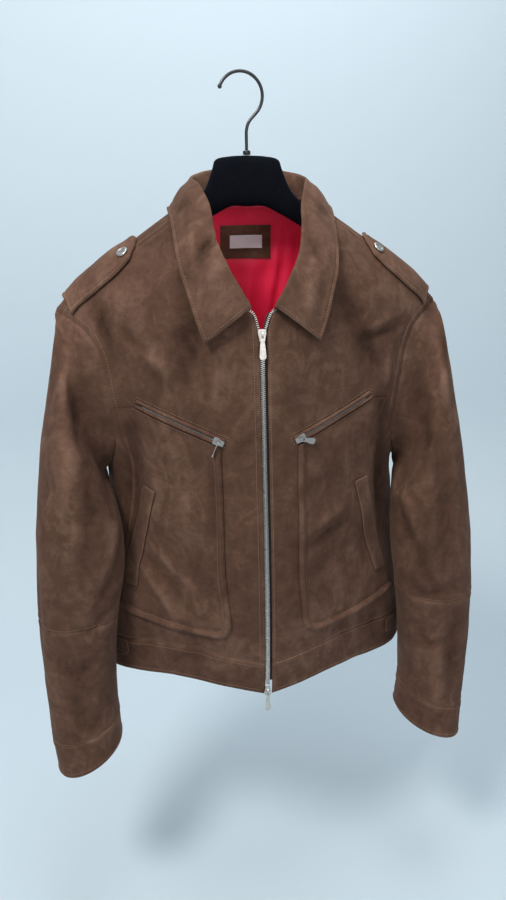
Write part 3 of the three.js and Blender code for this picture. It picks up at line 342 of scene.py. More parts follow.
front_grid = on_body(
    fill(
        hem_row(RIDGE_COLUMNS * FINE, "front", BAND),
        shoulder_seam,
        front_edge,
        np.vstack([side_seam, front_armhole[1:]]),
    )
)
back_rows = (SIDE_ROWS + BACK_ARM_ROWS) * FINE
neck_x = NECK_RIDGE_X * shares(NECK_COLUMNS * FINE)
neck_rise = (ridge(NECK_RIDGE_X) - BACK_NECK_Z) * shares(NECK_COLUMNS * FINE)
back_neck = np.column_stack([neck_x, BACK_NECK_Z + neck_rise])
half_back = on_body(
    fill(
        hem_row((NECK_COLUMNS + RIDGE_COLUMNS) * FINE, "back", BAND),
        np.vstack([back_neck, ridge_line[1:]]),
        line((0, HEM_LEVEL + BAND), (0, BACK_NECK_Z), back_rows),
        np.vstack([side_seam, back_armhole[1:]]),
    ),
    "back",
)
over_ridge = on_body(fill(ridge_line, shoulder_seam, neck_side, armhole_top[::-1]))


def band_grid(face, columns):
    return np.array([on_body(hem_row(columns, face, BAND * up), face) for up in shares(2 * FINE)])


front_band = band_grid("front", RIDGE_COLUMNS * FINE)
back_band = whole(band_grid("back", (NECK_COLUMNS + RIDGE_COLUMNS) * FINE))

armhole_ring = np.vstack(
    [on_body(armhole_top[::-1]), on_body(front_armhole[::-1][1:]), on_body(back_armhole[1:], "back")]
)


def sleeve_grid(side):
    """The rings of one sleeve, from the armhole to the edge of the cuff."""
    k = np.arange(2 * HALF_RING + 1) / HALF_RING
    in_front = k <= 1
    turn = np.pi * np.where(in_front, k, np.abs(2 - k) ** BACK_SPACING)
    bulge = np.abs(np.sin(turn)) ** SLEEVE_BOW * np.where(in_front, -1, 1)
    rings = [armhole_ring]
    for i in range(len(SLEEVE["front"])):
        row = {name: column[i] for name, column in SLEEVE.items()}
        outer = np.array([row["out_" + side], row["out_y"], row["out_z"]])
        inner = np.array([row["in_" + side], row["in_y"], row["in_z"]])
        ring = (outer + inner) / 2 + (outer - inner) / 2 * np.cos(turn)[:, None]
        rings.append(ring + (bulge * np.where(in_front, row["front"], row["back"]))[:, None] * (0, 1, 0))
    grid = spline(np.array(rings), shares((len(rings) - 1) * 2 * FINE))
    return grid if side == "left" else grid * (-1, 1, 1)

# ---------- walls of cloth ----------
LEAST_MITRE = 0.55  # pieces folded more sharply than this keep their own edges
made = {}  # the outer face of each piece, for what is sewn on it


def unit(vectors):
    return vectors / np.maximum(np.linalg.norm(vectors, axis=-1, keepdims=True), 1e-9)


def surface(grids, flip=False):
    """Grids of points as one sheet of points and quads. It faces along columns x rows, or back."""
    points, quads, count = [], [], 0
    for grid in grids:
        rows, columns = grid.shape[:2]
        index = count + np.arange(rows * columns).reshape(rows, columns)
        ring = [index[:-1, :-1], index[:-1, 1:], index[1:, 1:], index[1:, :-1]]
        quads.append(np.stack(ring, -1).reshape(-1, 4))
        points.append(grid.reshape(-1, 3))
        count += rows * columns
    points, quads = np.vstack(points), np.vstack(quads)
    key = np.round(points * 40).astype(int)
    _, first, merged = np.unique(key, axis=0, return_index=True, return_inverse=True)
    quads = merged.reshape(-1)[quads]
    return points[first], quads[:, ::-1] if flip else quads


def facing_of(points, quads):
    a, b, c, d = (points[quads[:, k]] for k in range(4))
    across = np.cross(c - a, d - b)
    normals = np.zeros_like(points)
    for k in range(4):
        np.add.at(normals, quads[:, k], across)
    return unit(normals)


def borders(quads):
    """The free edges of a sheet, each from one point to the next."""
    a, b = quads.ravel(), np.roll(quads, -1, axis=1).ravel()
    count = quads.max() + 1
    free = ~np.isin(a * count + b, b * count + a) & (a != b)
    return a[free], b[free]


def seam_keys(points):
    return [tuple(row) for row in np.round(points * 20).astype(int)]


def shared_facing(pieces):
    """The direction halfway between those that the pieces at a seam face, at each point they share."""
    facing = {}
    for piece in pieces:
        points, quads = surface(piece["grids"], piece.get("flip", False))
        normals = facing_of(points, quads)
        rim = np.unique(borders(quads)[0])
        for key, normal in zip(seam_keys(points[rim]), normals[rim]):
            facing[key] = facing.get(key, 0) + normal
    return {key: unit(total) for key, total in facing.items()}


def distance_to(points, targets):
    tree = KDTree(len(targets))
    for i, target in enumerate(targets):
        tree.insert(target, i)
    tree.balance()
    return np.array([tree.find(p)[2] for p in points])


def set_out(points, middle=MIDDLE_X):
    """Millimetres in the garment's frame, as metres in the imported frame."""
    return (np.asarray(points, float) + (middle, 0, 0)) / 1000


def new_object(name, points, faces, smooth=True, middle=MIDDLE_X):
    mesh = bpy.data.meshes.new(name)
    mesh.from_pydata(set_out(points, middle).tolist(), [], [list(map(int, face)) for face in faces])
    mesh.validate()
    mesh.polygons.foreach_set("use_smooth", np.full(len(mesh.polygons), smooth))
    piece = bpy.data.objects.new(name, mesh)
    bpy.context.scene.collection.objects.link(piece)
    return piece


def keep_attribute(piece, name, values):
    layer = piece.data.attributes.new(name, "FLOAT", "POINT")
    layer.data.foreach_set("value", np.asarray(values, np.float32))


def sew(name, grids, thickness, lift=0, flip=False, seam=0.2, facing=None, relief=None, roll=None):
    """A closed wall of cloth with a rounded edge. relief gives each point's height off the pattern's
    surface. roll lists profiles: heights of the wall at distances from a path, or from its own edge."""
    points, quads = surface(grids, flip)
    normals = facing_of(points, quads)
    a, b = borders(quads)
    rim = np.unique(a)
    if facing:
        for i, key in zip(rim, seam_keys(points[rim])):
            if key in facing and facing[key] @ normals[i] > LEAST_MITRE:
                normals[i] = facing[key]
    inward = np.zeros_like(points)
    run = unit(points[b] - points[a])
    np.add.at(inward, a, np.cross(normals[a], run))
    np.add.at(inward, b, np.cross(normals[b], run))
    inward[rim] = unit(inward[rim])
    from_edge = distance_to(points, points[rim])
    height = relief(points) if relief else np.zeros(len(points))
    swell = np.zeros(len(points))
    for path, profile in roll or []:
        away = from_edge if path is None else distance_to(points, path)
        swell += np.interp(away, *np.transpose(profile))
    base = points + normals * height[:, None]
    edge = 0.35 * thickness
    outer = base + inward * (seam + edge) + normals * (lift + swell)[:, None]
    inner = base + inward * (seam + edge) + normals * (lift - thickness)
    high = (outer - inward * edge - normals * 0.3 * thickness)[rim]
    low = (inner - inward * edge + normals * 0.3 * thickness)[rim]
    count, rims = len(points), len(rim)
    place = np.zeros(count, int)
    place[rim] = np.arange(rims)
    a_high, b_high = 2 * count + place[a], 2 * count + place[b]
    faces = np.vstack(
        [
            quads,
            quads[:, ::-1] + count,
            np.column_stack([b, a, a_high, b_high]),
            np.column_stack([b_high, a_high, a_high + rims, b_high + rims]),
            np.column_stack([b_high + rims, a_high + rims, a + count, b + count]),
        ]
    )
    piece = new_object(name + "_cloth", np.vstack([outer, inner, high, low]), faces)
    near_edge = np.exp(-from_edge / 3)
    # rise, the folds' height, is painted by the suede's finish: darker in creases as painted shade, paler on
    # ridges as rubbed nap and painted highlight.
    rise = np.clip(height / 4, -1, 1)
    keep_attribute(piece, "edge", np.r_[near_edge, 0 * near_edge, np.ones(2 * rims)])
    keep_attribute(piece, "rise", np.r_[rise, 0 * rise, np.zeros(2 * rims)])
    made[name] = (outer, quads)
    width = max(np.linalg.norm(np.diff(grid, axis=1), axis=2).sum(1).max() for grid in grids)
    length = np.linalg.norm(np.diff(grids[0], axis=0), axis=2).sum(0).max()
    corner = [points[quads[:, k]] for k in range(4)]
    area = np.linalg.norm(np.cross(corner[2] - corner[0], corner[3] - corner[1]), axis=1).sum() / 2
    piece["cut"] = (width / 1000, length / 1000, area / 1e6)
    return piece


# ---------- folds ----------
FOLD_STRENGTH = 1.8  # how much deeper the folds are pressed than their listed heights


def press(points, folds):
    """The height that folds give to points: each is a path, a half width and a height, + is a ridge."""
    height = np.zeros(len(points))
    for path, width, rise in folds:
        low, high = path.min(0) - 3 * width, path.max(0) + 3 * width
        near = np.flatnonzero(np.all((points > low) & (points < high), axis=1))
        if not len(near):
            continue
        squared = ((points[near][:, None] - path[None]) ** 2).sum(-1)
        along = squared.argmin(1) / (len(path) - 1)
        taper = np.sin(np.pi * (0.1 + 0.8 * along))
        height[near] += FOLD_STRENGTH * rise * taper * np.exp(-squared.min(1) / width**2)
    return height


def waviness(points, size, amount):
    """The slight unevenness of soft hide."""
    return np.array([amount * noise.noise(Vector(p) / size) for p in points])


# Folds of the body, each with its half width, its height and its points of x and z.
FRONT_FOLDS = [
    ("hollow inside the right armhole", 11, -3.4, [(-184, -255), (-181, -268), (-178, -285), (-174, -304)]),
    ("edge of that hollow", 6, 1.6, [(-196, -266), (-188, -280), (-183, -298), (-181, -315)]),
    ("second hollow, further in", 11, -1.8, [(-158, -270), (-143, -295), (-135, -314)]),
    ("drag line to the right chest", 6, 1.5, [(-152, -296), (-126, -307), (-111, -318), (-104, -335)]),
    ("under the drag line", 9, -1.3, [(-140, -318), (-118, -330), (-108, -350)]),
    ("right chest", 17, -2.2, [(-82, -235), (-80, -285), (-94, -335)]),
    ("right chest, inner", 9, 0.9, [(-60, -300), (-52, -335), (-58, -365)]),
    ("pucker at the zip, lower side", 4, -1.1, [(-28, -408), (-19, -399), (-11, -390)]),
    ("pucker at the zip, upper side", 4, 0.9, [(-27, -398), (-18, -390), (-10, -382)]),
    ("right front under the arm", 14, -4.0, [(-150, -372), (-152, -420), (-156, -485), (-166, -560)]),
    ("ridge beside it", 11, 1.6, [(-128, -420), (-126, -470), (-134, -520)]),
    ("right pocket, outer fold", 6, 2.0, [(-153, -571), (-133, -600), (-108, -634)]),
    ("right pocket, inner fold", 5, 1.5, [(-142, -534), (-116, -563), (-85, -592)]),
    ("between them", 6, -1.4, [(-146, -556), (-122, -584), (-96, -614)]),
    ("right pocket, beside the edge", 9, -1.2, [(-60, -430), (-58, -480), (-62, -530)]),
    ("right pocket, middle", 14, 1.4, [(-95, -450), (-92, -500), (-86, -540)]),
    ("right hem", 10, -1.6, [(-96, -650), (-88, -676), (-84, -700)]),
    ("right hem, outer", 9, -1.4, [(-150, -650), (-152, -684), (-156, -712)]),
    ("left chest, long hollow", 14, -3.2, [(90, -210), (104, -256), (121, -300), (133, -338)]),
    ("left drag line", 6, -2.0, [(122, -296), (148, -288), (172, -282)]),
    ("over the left drag line", 5, 1.0, [(124, -282), (150, -274), (174, -268)]),
    ("left chest, short hollow", 6, -2.2, [(131, -302), (141, -318), (153, -336)]),
    ("inside the left armhole", 7, 1.2, [(160, -300), (158, -325), (160, -352)]),
    ("left front under the arm", 13, -4.0, [(152, -372), (158, -420), (160, -485), (166, -556)]),
    ("ridge beside it, left", 11, 1.5, [(130, -430), (130, -470), (138, -520)]),
    ("left pocket, drag line", 7, 1.7, [(46, -520), (73, -507), (102, -494)]),
    ("left pocket, under it", 8, -1.3, [(50, -538), (76, -526), (106, -514)]),
    ("left pocket, outer", 9, -1.8, [(127, -530), (131, -560), (134, -590)]),
    ("left pocket, low ridge", 10, 1.4, [(80, -560), (92, -590), (96, -624)]),
    ("left chest, low", 12, -1.6, [(30, -335), (38, -360), (44, -382)]),
    ("left hem", 9, -1.3, [(96, -652), (104, -680), (106, -704)]),
    ("left hem, outer", 9, -1.5, [(152, -650), (156, -684), (158, -712)]),
]
BACK_FOLDS = [
    ("from the right armhole", 14, -3.4, [(-178, -320), (-158, -368), (-146, -430), (-142, -500)]),
    ("its ridge", 11, 2.2, [(-150, -330), (-132, -380), (-122, -440)]),
    ("from the left armhole", 14, -3.6, [(176, -330), (160, -380), (150, -440), (144, -515)]),
    ("its ridge, left", 10, 2.0, [(150, -340), (134, -392), (126, -450)]),
    ("across the right shoulder blade", 12, -2.0, [(-170, -262), (-130, -280), (-86, -286)]),
    ("across the left shoulder blade", 12, -1.8, [(168, -268), (126, -282), (84, -292)]),
    ("under the collar", 13, -1.6, [(-48, -196), (0, -206), (52, -198)]),
    ("hang of the middle", 20, -2.6, [(-8, -330), (4, -430), (-4, -540), (6, -640)]),
    ("right of the middle", 16, 2.2, [(-58, -400), (-64, -500), (-56, -600)]),
    ("left of the middle", 17, 2.0, [(62, -380), (56, -490), (66, -610)]),
    ("low right hollow", 12, -2.4, [(-104, -520), (-112, -590), (-106, -664)]),
    ("low left hollow", 12, -2.2, [(106, -540), (112, -600), (104, -668)]),
    ("over the hem, right", 9, -1.8, [(-150, -610), (-154, -650), (-152, -700)]),
    ("over the hem, left", 9, -1.6, [(152, -600), (150, -650), (156, -704)]),
    ("hem, middle", 9, -1.4, [(-24, -640), (-28, -672), (-26, -712)]),
    ("hem, right of the middle", 8, -1.2, [(36, -646), (40, -676), (38, -708)]),
]


def body_paths(folds, face):
    return [
        (on_body(even(points, shares(60)), face), width, rise) for _, width, rise, points in folds
    ]


body_folds = body_paths(FRONT_FOLDS, "front") + body_paths(BACK_FOLDS, "back")


def body_relief(points):
    return press(points, body_folds) + waviness(points, 42, 0.9) + waviness(points, 15, 0.25)


# Folds of a sleeve: half width, height, then pairs of degrees round it (0 is its outer side, 90 its
# front, 180 its inner side) and shares of its length from the armhole.
SLEEVE_FOLDS = {
    "left": [
        ("fold of the cap", 6, 2.2, [(52, 0.03), (58, 0.1), (62, 0.17), (64, 0.24)]),
        ("hollow outside it", 8, -2.4, [(40, 0.05), (44, 0.13), (46, 0.22)]),
        ("beside the armhole", 8, -2.6, [(98, 0.05), (108, 0.14), (118, 0.24)]),
        ("short fold of the cap", 5, 1.2, [(80, 0.05), (84, 0.09), (86, 0.13)]),
        ("long front hollow", 12, -2.4, [(92, 0.24), (84, 0.34), (88, 0.46), (96, 0.56)]),
        ("inner drag line", 9, 2.2, [(160, 0.28), (140, 0.4), (124, 0.52)]),
        ("inner hollow", 9, -2.6, [(158, 0.36), (134, 0.48), (112, 0.6)]),
        ("fullness under the arm", 13, 2.4, [(172, 0.1), (172, 0.18), (166, 0.27)]),
        ("elbow, upper", 7, -2.0, [(150, 0.58), (124, 0.62), (96, 0.61), (72, 0.6)]),
        ("elbow, lower", 7, -1.8, [(146, 0.7), (118, 0.74), (88, 0.72)]),
        ("forearm", 12, -2.0, [(70, 0.66), (80, 0.76), (74, 0.88)]),
        ("forearm ridge", 10, 1.8, [(104, 0.72), (98, 0.82), (106, 0.92)]),
        ("outer elbow", 11, -2.0, [(20, 0.5), (10, 0.6), (352, 0.7)]),
        ("back of the upper arm", 12, -2.8, [(250, 0.16), (262, 0.3), (256, 0.46)]),
        ("back ridge", 10, 2.2, [(292, 0.2), (284, 0.34), (290, 0.5)]),
        ("back of the elbow", 8, -2.2, [(230, 0.52), (258, 0.57), (288, 0.56)]),
        ("back of the forearm", 11, -2.2, [(262, 0.66), (270, 0.78), (264, 0.9)]),
    ],
    "right": [
        ("fold of the cap", 7, 2.0, [(64, 0.04), (62, 0.11), (66, 0.18)]),
        ("hollow inside it", 8, -2.2, [(86, 0.05), (90, 0.13), (96, 0.2)]),
        ("outer hollow", 9, -1.8, [(34, 0.06), (36, 0.16), (30, 0.26)]),
        ("long front ridge", 13, 1.8, [(74, 0.22), (80, 0.34), (78, 0.48)]),
        ("long front hollow", 12, -2.2, [(108, 0.24), (112, 0.36), (104, 0.5)]),
        ("inner drag line", 9, 2.0, [(162, 0.3), (146, 0.42), (132, 0.53)]),
        ("inner hollow", 9, -2.4, [(160, 0.4), (142, 0.5), (120, 0.6)]),
        ("fullness under the arm", 13, 2.4, [(174, 0.1), (172, 0.18), (166, 0.27)]),
        ("elbow, upper", 7, -1.6, [(140, 0.6), (112, 0.64), (82, 0.62)]),
        ("elbow, lower", 8, -1.8, [(60, 0.68), (88, 0.73), (120, 0.71)]),
        ("forearm", 12, -2.2, [(96, 0.72), (90, 0.82), (98, 0.92)]),
        ("low diagonal", 6, 1.5, [(120, 0.93), (100, 0.9), (78, 0.86)]),
        ("outer elbow", 12, -2.0, [(14, 0.52), (24, 0.62), (18, 0.74)]),
        ("back of the upper arm", 12, -2.6, [(254, 0.18), (264, 0.32), (252, 0.48)]),
        ("back ridge", 10, 2.0, [(296, 0.2), (288, 0.36), (294, 0.5)]),
        ("back of the elbow", 8, -2.0, [(234, 0.54), (262, 0.58), (290, 0.55)]),
        ("back of the forearm", 11, -2.2, [(270, 0.68), (262, 0.8), (268, 0.92)]),
    ],
}


def on_grid(grid, round_share, down_share):
    """Points at shares of a grid's columns and rows."""
    row = np.clip(down_share, 0, 1) * (len(grid) - 1)
    column = np.mod(round_share, 1) * (grid.shape[1] - 1)
    i, j = np.minimum(row.astype(int), len(grid) - 2), np.minimum(column.astype(int), grid.shape[1] - 2)
    s, t = (row - i)[:, None], (column - j)[:, None]
    return (grid[i, j] * (1 - s) + grid[i + 1, j] * s) * (1 - t) + (
        grid[i, j + 1] * (1 - s) + grid[i + 1, j + 1] * s
    ) * t


def sleeve_relief(grid, side):
    folds = []
    for _, width, rise, points in SLEEVE_FOLDS[side]:
        turns = np.array(points, float)
        turns[turns[:, 0] > 330, 0] -= 360
        path = spline(turns, shares(80))
        folds.append((on_grid(grid, path[:, 0] / 360, path[:, 1]), width, rise))
    return lambda points: press(points, folds) + waviness(points, 46, 1.1) + waviness(points, 16, 0.25)


# ---------- shell: fronts, back, sleeves and bands ----------
ARMHOLE_CALM = 22  # folds fade out over this distance from the armhole seam
armholes = np.vstack([armhole_ring, armhole_ring * (-1, 1, 1)])


def calm(points):
    t = np.clip(distance_to(points, armholes) / ARMHOLE_CALM, 0, 1)
    return t * t * (3 - 2 * t)


def shell_relief(points):
    return body_relief(points) * calm(points)


# Heights of a wall at distances from its free edge.
SEAM_EDGE = [(0, -0.8), (3.5, 0.5), (7, 0.3), (11, -0.4), (16, 0)]
ROLLED_EDGE = [(0, -0.9), (1.2, 1.2), (3, 2.7), (5, 3.0), (6.8, 1.7), (8.4, -0.9), (10, -0.9), (16, 0)]
TUCKED_EDGE = [(0, -1.5), (4, -1.4), (10, -0.6), (18, 0)]
PRESSED_EDGE = [(0, -0.4), (1.4, 1.0), (3.0, 1.0), (4.6, -0.6), (6.6, 0.5), (12, 0)]
BAND_LIFT = 0.6

sleeves = {side: sleeve_grid(side) for side in ("left", "right")}
shell = {
    "front_left": dict(grids=[front_grid]),
    "front_right": dict(grids=[mirrored(front_grid)]),
    "back": dict(grids=[whole(half_back), over_ridge, mirrored(over_ridge)], flip=True),
    "hem_band_front_left": dict(grids=[front_band]),
    "hem_band_front_right": dict(grids=[mirrored(front_band)]),
    "hem_band_back": dict(grids=[back_band], flip=True),
}
for side, rings in sleeves.items():
    spans = {
        "sleeve_upper_": (0, ELBOW_RING),
        "sleeve_lower_": (ELBOW_RING, CUFF_RING),
        "cuff_": (CUFF_RING, CUFF_RING + 1),
    }
    for name, (start, end) in spans.items():
        cut = rings[start * 2 * FINE : end * 2 * FINE + 1]
        shell[name + side] = dict(grids=[cut], flip=side == "right")


def make_shell():
    facing = shared_facing(shell.values())
    reliefs = {side: sleeve_relief(rings, side) for side, rings in sleeves.items()}
    pieces = {}
    for name, piece in shell.items():
        of_sleeve = name.startswith(("sleeve", "cuff"))
        own = reliefs[name.split("_")[-1]] if of_sleeve else body_relief
        double = "band" in name or "cuff" in name
        pieces[name] = sew(
            name,
            piece["grids"],
            DOUBLE_SUEDE if double else SUEDE,
            lift=BAND_LIFT if double else 0,
            flip=piece.get("flip", False),
            seam=-0.1,
            facing=facing,
            relief=lambda points, own=own: own(points) * calm(points),
            roll=[(None, SEAM_EDGE)],
        )
    return pieces


# ---------- lining ----------
LINING_LIFT = -(SUEDE + UNDER)
LINING_START = 15
LINING_FOLDS = [
    ("beside the label, left", 5, -3.2, [(42, -150), (40, -200), (30, -260), (26, -330)]),
    ("next to it", 6, -2.4, [(56, -150), (56, -210), (48, -270), (40, -350)]),
    ("outer", 7, -2.6, [(74, -170), (76, -230), (70, -300)]),
    ("under the label", 5, -2.2, [(8, -214), (4, -260), (8, -330)]),
    ("right of the label", 6, -1.8, [(-46, -170), (-44, -220), (-30, -280)]),
    ("low right", 9, -2.4, [(-60, -320), (-66, -420), (-60, -520)]),
    ("low left", 9, -2.4, [(60, -400), (66, -480), (58, -580)]),
]


def clip_start(points):
    return np.column_stack([np.maximum(points[:, 0], LINING_START), points[:, 1]])


# The share of its width by which the lining is drawn in, at distances from the armholes.
LINING_TUCK = [(0, 0.12), (20, 0.09), (70, 0)]


def drawn_in(grid):
    flat = grid.reshape(-1, 3)
    share = np.interp(distance_to(flat, armholes), *np.transpose(LINING_TUCK))
    return grid * np.stack([1 - share, np.ones_like(share), np.ones_like(share)], -1).reshape(grid.shape)


def make_lining():
    front = on_body(
        fill(
            clip_start(hem_row(RIDGE_COLUMNS * FINE, "front", BAND)),
            ridge_line,
            clip_start(np.vstack([front_edge[:-1], [neck_corner]])),
            np.vstack([side_seam, front_armhole[1:-1], [ARMHOLE[0]]]),
        )
    )
    grids = {
        "lining_front_left": dict(grids=[drawn_in(front[:, ::2])]),
        "lining_front_right": dict(grids=[drawn_in(mirrored(front)[:, ::2])]),
        "lining_back": dict(grids=[drawn_in(whole(half_back))], flip=True),
    }
    facing = shared_facing(grids.values())
    folds = body_paths(LINING_FOLDS, "back")

    def relief(points):
        behind = points[:, 1] > 0
        return shell_relief(points) + np.where(behind, press(points, folds), 0)

    return {
        name: sew(
            name,
            piece["grids"],
            LINING_WALL,
            lift=LINING_LIFT,
            flip=piece.get("flip", False),
            seam=1.5,
            facing=facing,
            relief=relief,
        )
        for name, piece in grids.items()
    }


# ---------- collar ----------
# From the middle of the back to the point of the leaf. neck_z is given from the shoulder forward.
COLLAR = table(
    "neck_x neck_z roll_x roll_y roll_z edge_x edge_y edge_z",
    (0, 0, 0, 43, -97, 0, 55, -160),
    (36, 0, 37, 39, -99, 45, 54, -162),
    (64, 0, 60, 21, -106, 80, 34, -163),
    (80, 0, 66, -3, -113, 95, 2, -146),
    (0, -157, 60, -30, -121, 94, -34, -160),
    (0, -180, 52, -54, -143, 92, -62, -183),
    (0, -205, 48, -77, -172, 89, -82, -210),
    (0, -230, 41, -93, -199, 81, -96, -238),
    (0, -249, 28, -104, -225, 73, -103, -267),
    (0, -257, 13, -107, -251, 65, -106, -290),
)
# Points across the collar, on the stand from seam to roll, then on the leaf from roll to edge.
ACROSS = [
    ("stand", 0, 0),
    ("stand", 0.35, 0),
    ("stand", 0.75, 0),
    ("stand", 1, 1.96),
    ("leaf", 0.12, 2.8),
    ("leaf", 0.35, 4.9),
    ("leaf", 0.6, 3.92),
    ("leaf", 0.82, 1.96),
    ("leaf", 1, 0),
]
COLLAR_GAP = 3.4
COLLAR_STEPS = 132
neck_curve = table("x z", *NECK)


def outward(x, z, face):
    step = 0.5
    dx = (depth(x + step, z, face) - depth(x - step, z, face)) / (2 * step)
    dz = (depth(x, z + step, face) - depth(x, z - step, face)) / (2 * step)
    normal = unit(np.stack([dx, -np.ones_like(dx), dz], -1))
    return normal if face == "front" else -normal


def shoulder_height(x, y):
    """Height of the shoulder over points seen from above."""
    low, high = ridge(x) - ROUND, ridge(x)
    ahead = y < 0
    for _ in range(30):
        middle = (low + high) / 2
        reach = np.where(ahead, -depth(x, middle, "front"), depth(x, middle, "back"))
        below = reach > np.abs(y)
        low, high = np.where(below, middle, low), np.where(below, high, middle)
    return (low + high) / 2


def clear_of_body(points, gap):
    x, y, z = points.T
    ahead = (y < 0)[:, None]
    top = shoulder_height(x, y)
    level_z = np.minimum(z, ridge(x) - 1)
    upper = np.where(ahead, outward(x, top, "front"), outward(x, top, "back"))
    level = np.where(ahead, outward(x, level_z, "front"), outward(x, level_z, "back"))
    face_y = np.where(ahead[:, 0], depth(x, z, "front"), depth(x, z, "back"))
    steep = np.abs(level[:, 1]) > 0.6
    distance = np.where(steep, (y - face_y) * level[:, 1], (z - top) * upper[:, 2])
    push = np.maximum(gap - distance, 0)[:, None]
    return points + push * np.where(steep[:, None], level, upper)


def neck_points():
    ahead = COLLAR["neck_z"] < 0
    behind_z = BACK_NECK_Z + (ridge(NECK_RIDGE_X) - BACK_NECK_Z) * COLLAR["neck_x"] / NECK_RIDGE_X
    z = np.where(ahead, COLLAR["neck_z"], behind_z)
    x = np.where(ahead, read(neck_curve, "z", "x", z), COLLAR["neck_x"])
    flat = np.column_stack([x, z])
    base = np.where(ahead[:, None], on_body(flat), on_body(flat, "back"))
    out = np.where(ahead[:, None], outward(x, z, "front"), outward(x, z, "back"))
    return base + out * 0.75 + np.column_stack([np.where(x > 60, -2, 0), 0 * x, 2 + 0 * x])


def collar_line(half, at):
    line_points = np.vstack([half[:0:-1] * (-1, 1, 1), half])
    return spline(line_points, at)


# Folds of the collar's leaf: half width, height, and shares along it and from the roll to the edge.
COLLAR_FOLDS = [
    ("deep crease of the right leaf", 5, -3.8, [(0.155, 0.05), (0.15, 0.25), (0.135, 0.45)]),
    ("swell below it", 7, 1.8, [(0.105, 0.08), (0.1, 0.3), (0.092, 0.5)]),
    ("swell above it", 8, 1.3, [(0.2, 0.1), (0.195, 0.32), (0.18, 0.5)]),
    ("dent near the right edge", 6, -1.2, [(0.11, 0.72), (0.145, 0.7), (0.18, 0.72)]),
    ("crease of the left leaf", 5, -2.2, [(0.84, 0.1), (0.85, 0.28), (0.865, 0.42)]),
    ("fold down the left leaf", 6, 1.5, [(0.9, 0.3), (0.94, 0.4), (0.975, 0.5)]),
    ("hollow outside it", 6, -1.4, [(0.88, 0.55), (0.92, 0.62), (0.955, 0.7)]),
    ("left upper leaf", 7, -1.3, [(0.77, 0.3), (0.75, 0.5), (0.735, 0.7)]),
    ("right upper leaf", 7, -1.2, [(0.25, 0.35), (0.27, 0.5), (0.28, 0.7)]),
    ("back of the collar, right", 8, -1.3, [(0.4, 0.25), (0.41, 0.5), (0.4, 0.8)]),
    ("back of the collar, left", 8, -1.2, [(0.585, 0.3), (0.59, 0.6), (0.6, 0.85)]),
]
LEAF_START = 3 / 8  # the roll's place among the points across


def make_collar_grid():
    at = shares(COLLAR_STEPS)
    seam = collar_line(neck_points(), at)
    roll = collar_line(np.column_stack([COLLAR["roll_x"], COLLAR["roll_y"], COLLAR["roll_z"]]), at)
    edge = collar_line(np.column_stack([COLLAR["edge_x"], COLLAR["edge_y"], COLLAR["edge_z"]]), at)
    out = unit(np.cross(edge - roll, np.gradient(roll, axis=0)))
    out *= np.sign((out * (roll - (0, 0, -190))).sum(1))[:, None]
    columns = []
    for part_name, share, bow in ACROSS:
        start, end = (seam, roll) if part_name == "stand" else (roll, edge)
        points = start + (end - start) * share + out * bow
        columns.append(points if len(columns) < 3 else clear_of_body(points, COLLAR_GAP))
    return spline(np.array(columns), toward_edge(44)).transpose(1, 0, 2)


def toward_edge(steps):
    """Shares across the collar, closer together at its free edge."""
    t = shares(steps)
    return t + 0.12 * np.sin(np.pi * t) * t


def on_leaf(grid, path):
    across = LEAF_START + (1 - LEAF_START) * path[:, 1]
    row = np.round(path[:, 0] * (len(grid) - 1)).astype(int)
    column = np.round(across * (grid.shape[1] - 1)).astype(int)
    return grid[row, column]


collar_grid = make_collar_grid()


def make_collar():
    grid = collar_grid
    folds = [
        (on_leaf(grid, spline(np.array(points, float), shares(40))), width, rise)
        for _, width, rise, points in COLLAR_FOLDS
    ]
    return sew(
        "collar",
        [grid],
        DOUBLE_SUEDE,
        lift=DOUBLE_SUEDE / 2,
        flip=True,
        relief=lambda points: press(points, folds) + waviness(points, 30, 0.9) + waviness(points, 11, 0.25),
        roll=[(None, PRESSED_EDGE)],
    )


# ---------- shoulder straps ----------
STRAP_LIFT = 4
# The strap seen from above: x and depth.
STRAP_FRONT = [(142, -39), (157, -42), (180, -38), (198, -31), (212, -24)]
STRAP_BACK = [(142, 6), (162, 7), (186, 8), (208, 8), (221, 7)]
STRAP_POINT = [(142, -39), (135, -27), (134, -11), (142, 6)]
STRAP_END = [(212, -24), (218, -14), (223, -3), (221, 7)]


def closer_at_ends(steps):
    t = shares(steps)
    return 0.4 * t + 0.3 * (1 - np.cos(np.pi * t))


def strap_grid():
    length, across = closer_at_ends(64), closer_at_ends(36)
    seen = fill(
        even(STRAP_FRONT, length),
        even(STRAP_BACK, length),
        even(STRAP_POINT, across),
        even(STRAP_END, across),
    )
    x, y = seen[..., 0], seen[..., 1]
    return np.stack([x, y, shoulder_height(x, y)], -1)


def make_straps():
    grid = strap_grid()
    return {
        "shoulder_strap_" + side: sew(
            "shoulder_strap_" + side,
            [grid if side == "left" else mirrored(grid)],
            2.2,
            lift=STRAP_LIFT,
            seam=0,
            relief=lambda points: shell_relief(points) + waviness(points, 14, 0.3),
            roll=[(None, PRESSED_EDGE)],
        )
        for side in ("left", "right")
    }


# ---------- pockets and their zips ----------
SWAY = -6  # as it hangs, the fronts' upper part lies over to the wearer's right
CHEST_ZIP = np.array([(41, -403), (140, -360)], float)
chest_run = CHEST_ZIP[1] - CHEST_ZIP[0]
CHEST_LENGTH = np.hypot(*chest_run)
chest_along = chest_run / CHEST_LENGTH
chest_above = np.array([-chest_along[1], chest_along[0]])
POCKET_INNER, POCKET_CORNER, POCKET_BOTTOM = 44, 20, -652
POCKET_SIDE = table(
    "z x", (-644, 183), (-606, 175.5), (-560, 167), (-510, 159), (-450, 153), (-400, 158), (-368, 165)
)
POCKET_LIFT, WELT_LIFT, WELT_WALL = 3.2, 2.3, 1.5
HAND_WELT = table(
    "z inner outer", (-465, 119, 135), (-505, 129, 145), (-550, 140, 157), (-580, 148, 165), (-604, 154, 170)
)


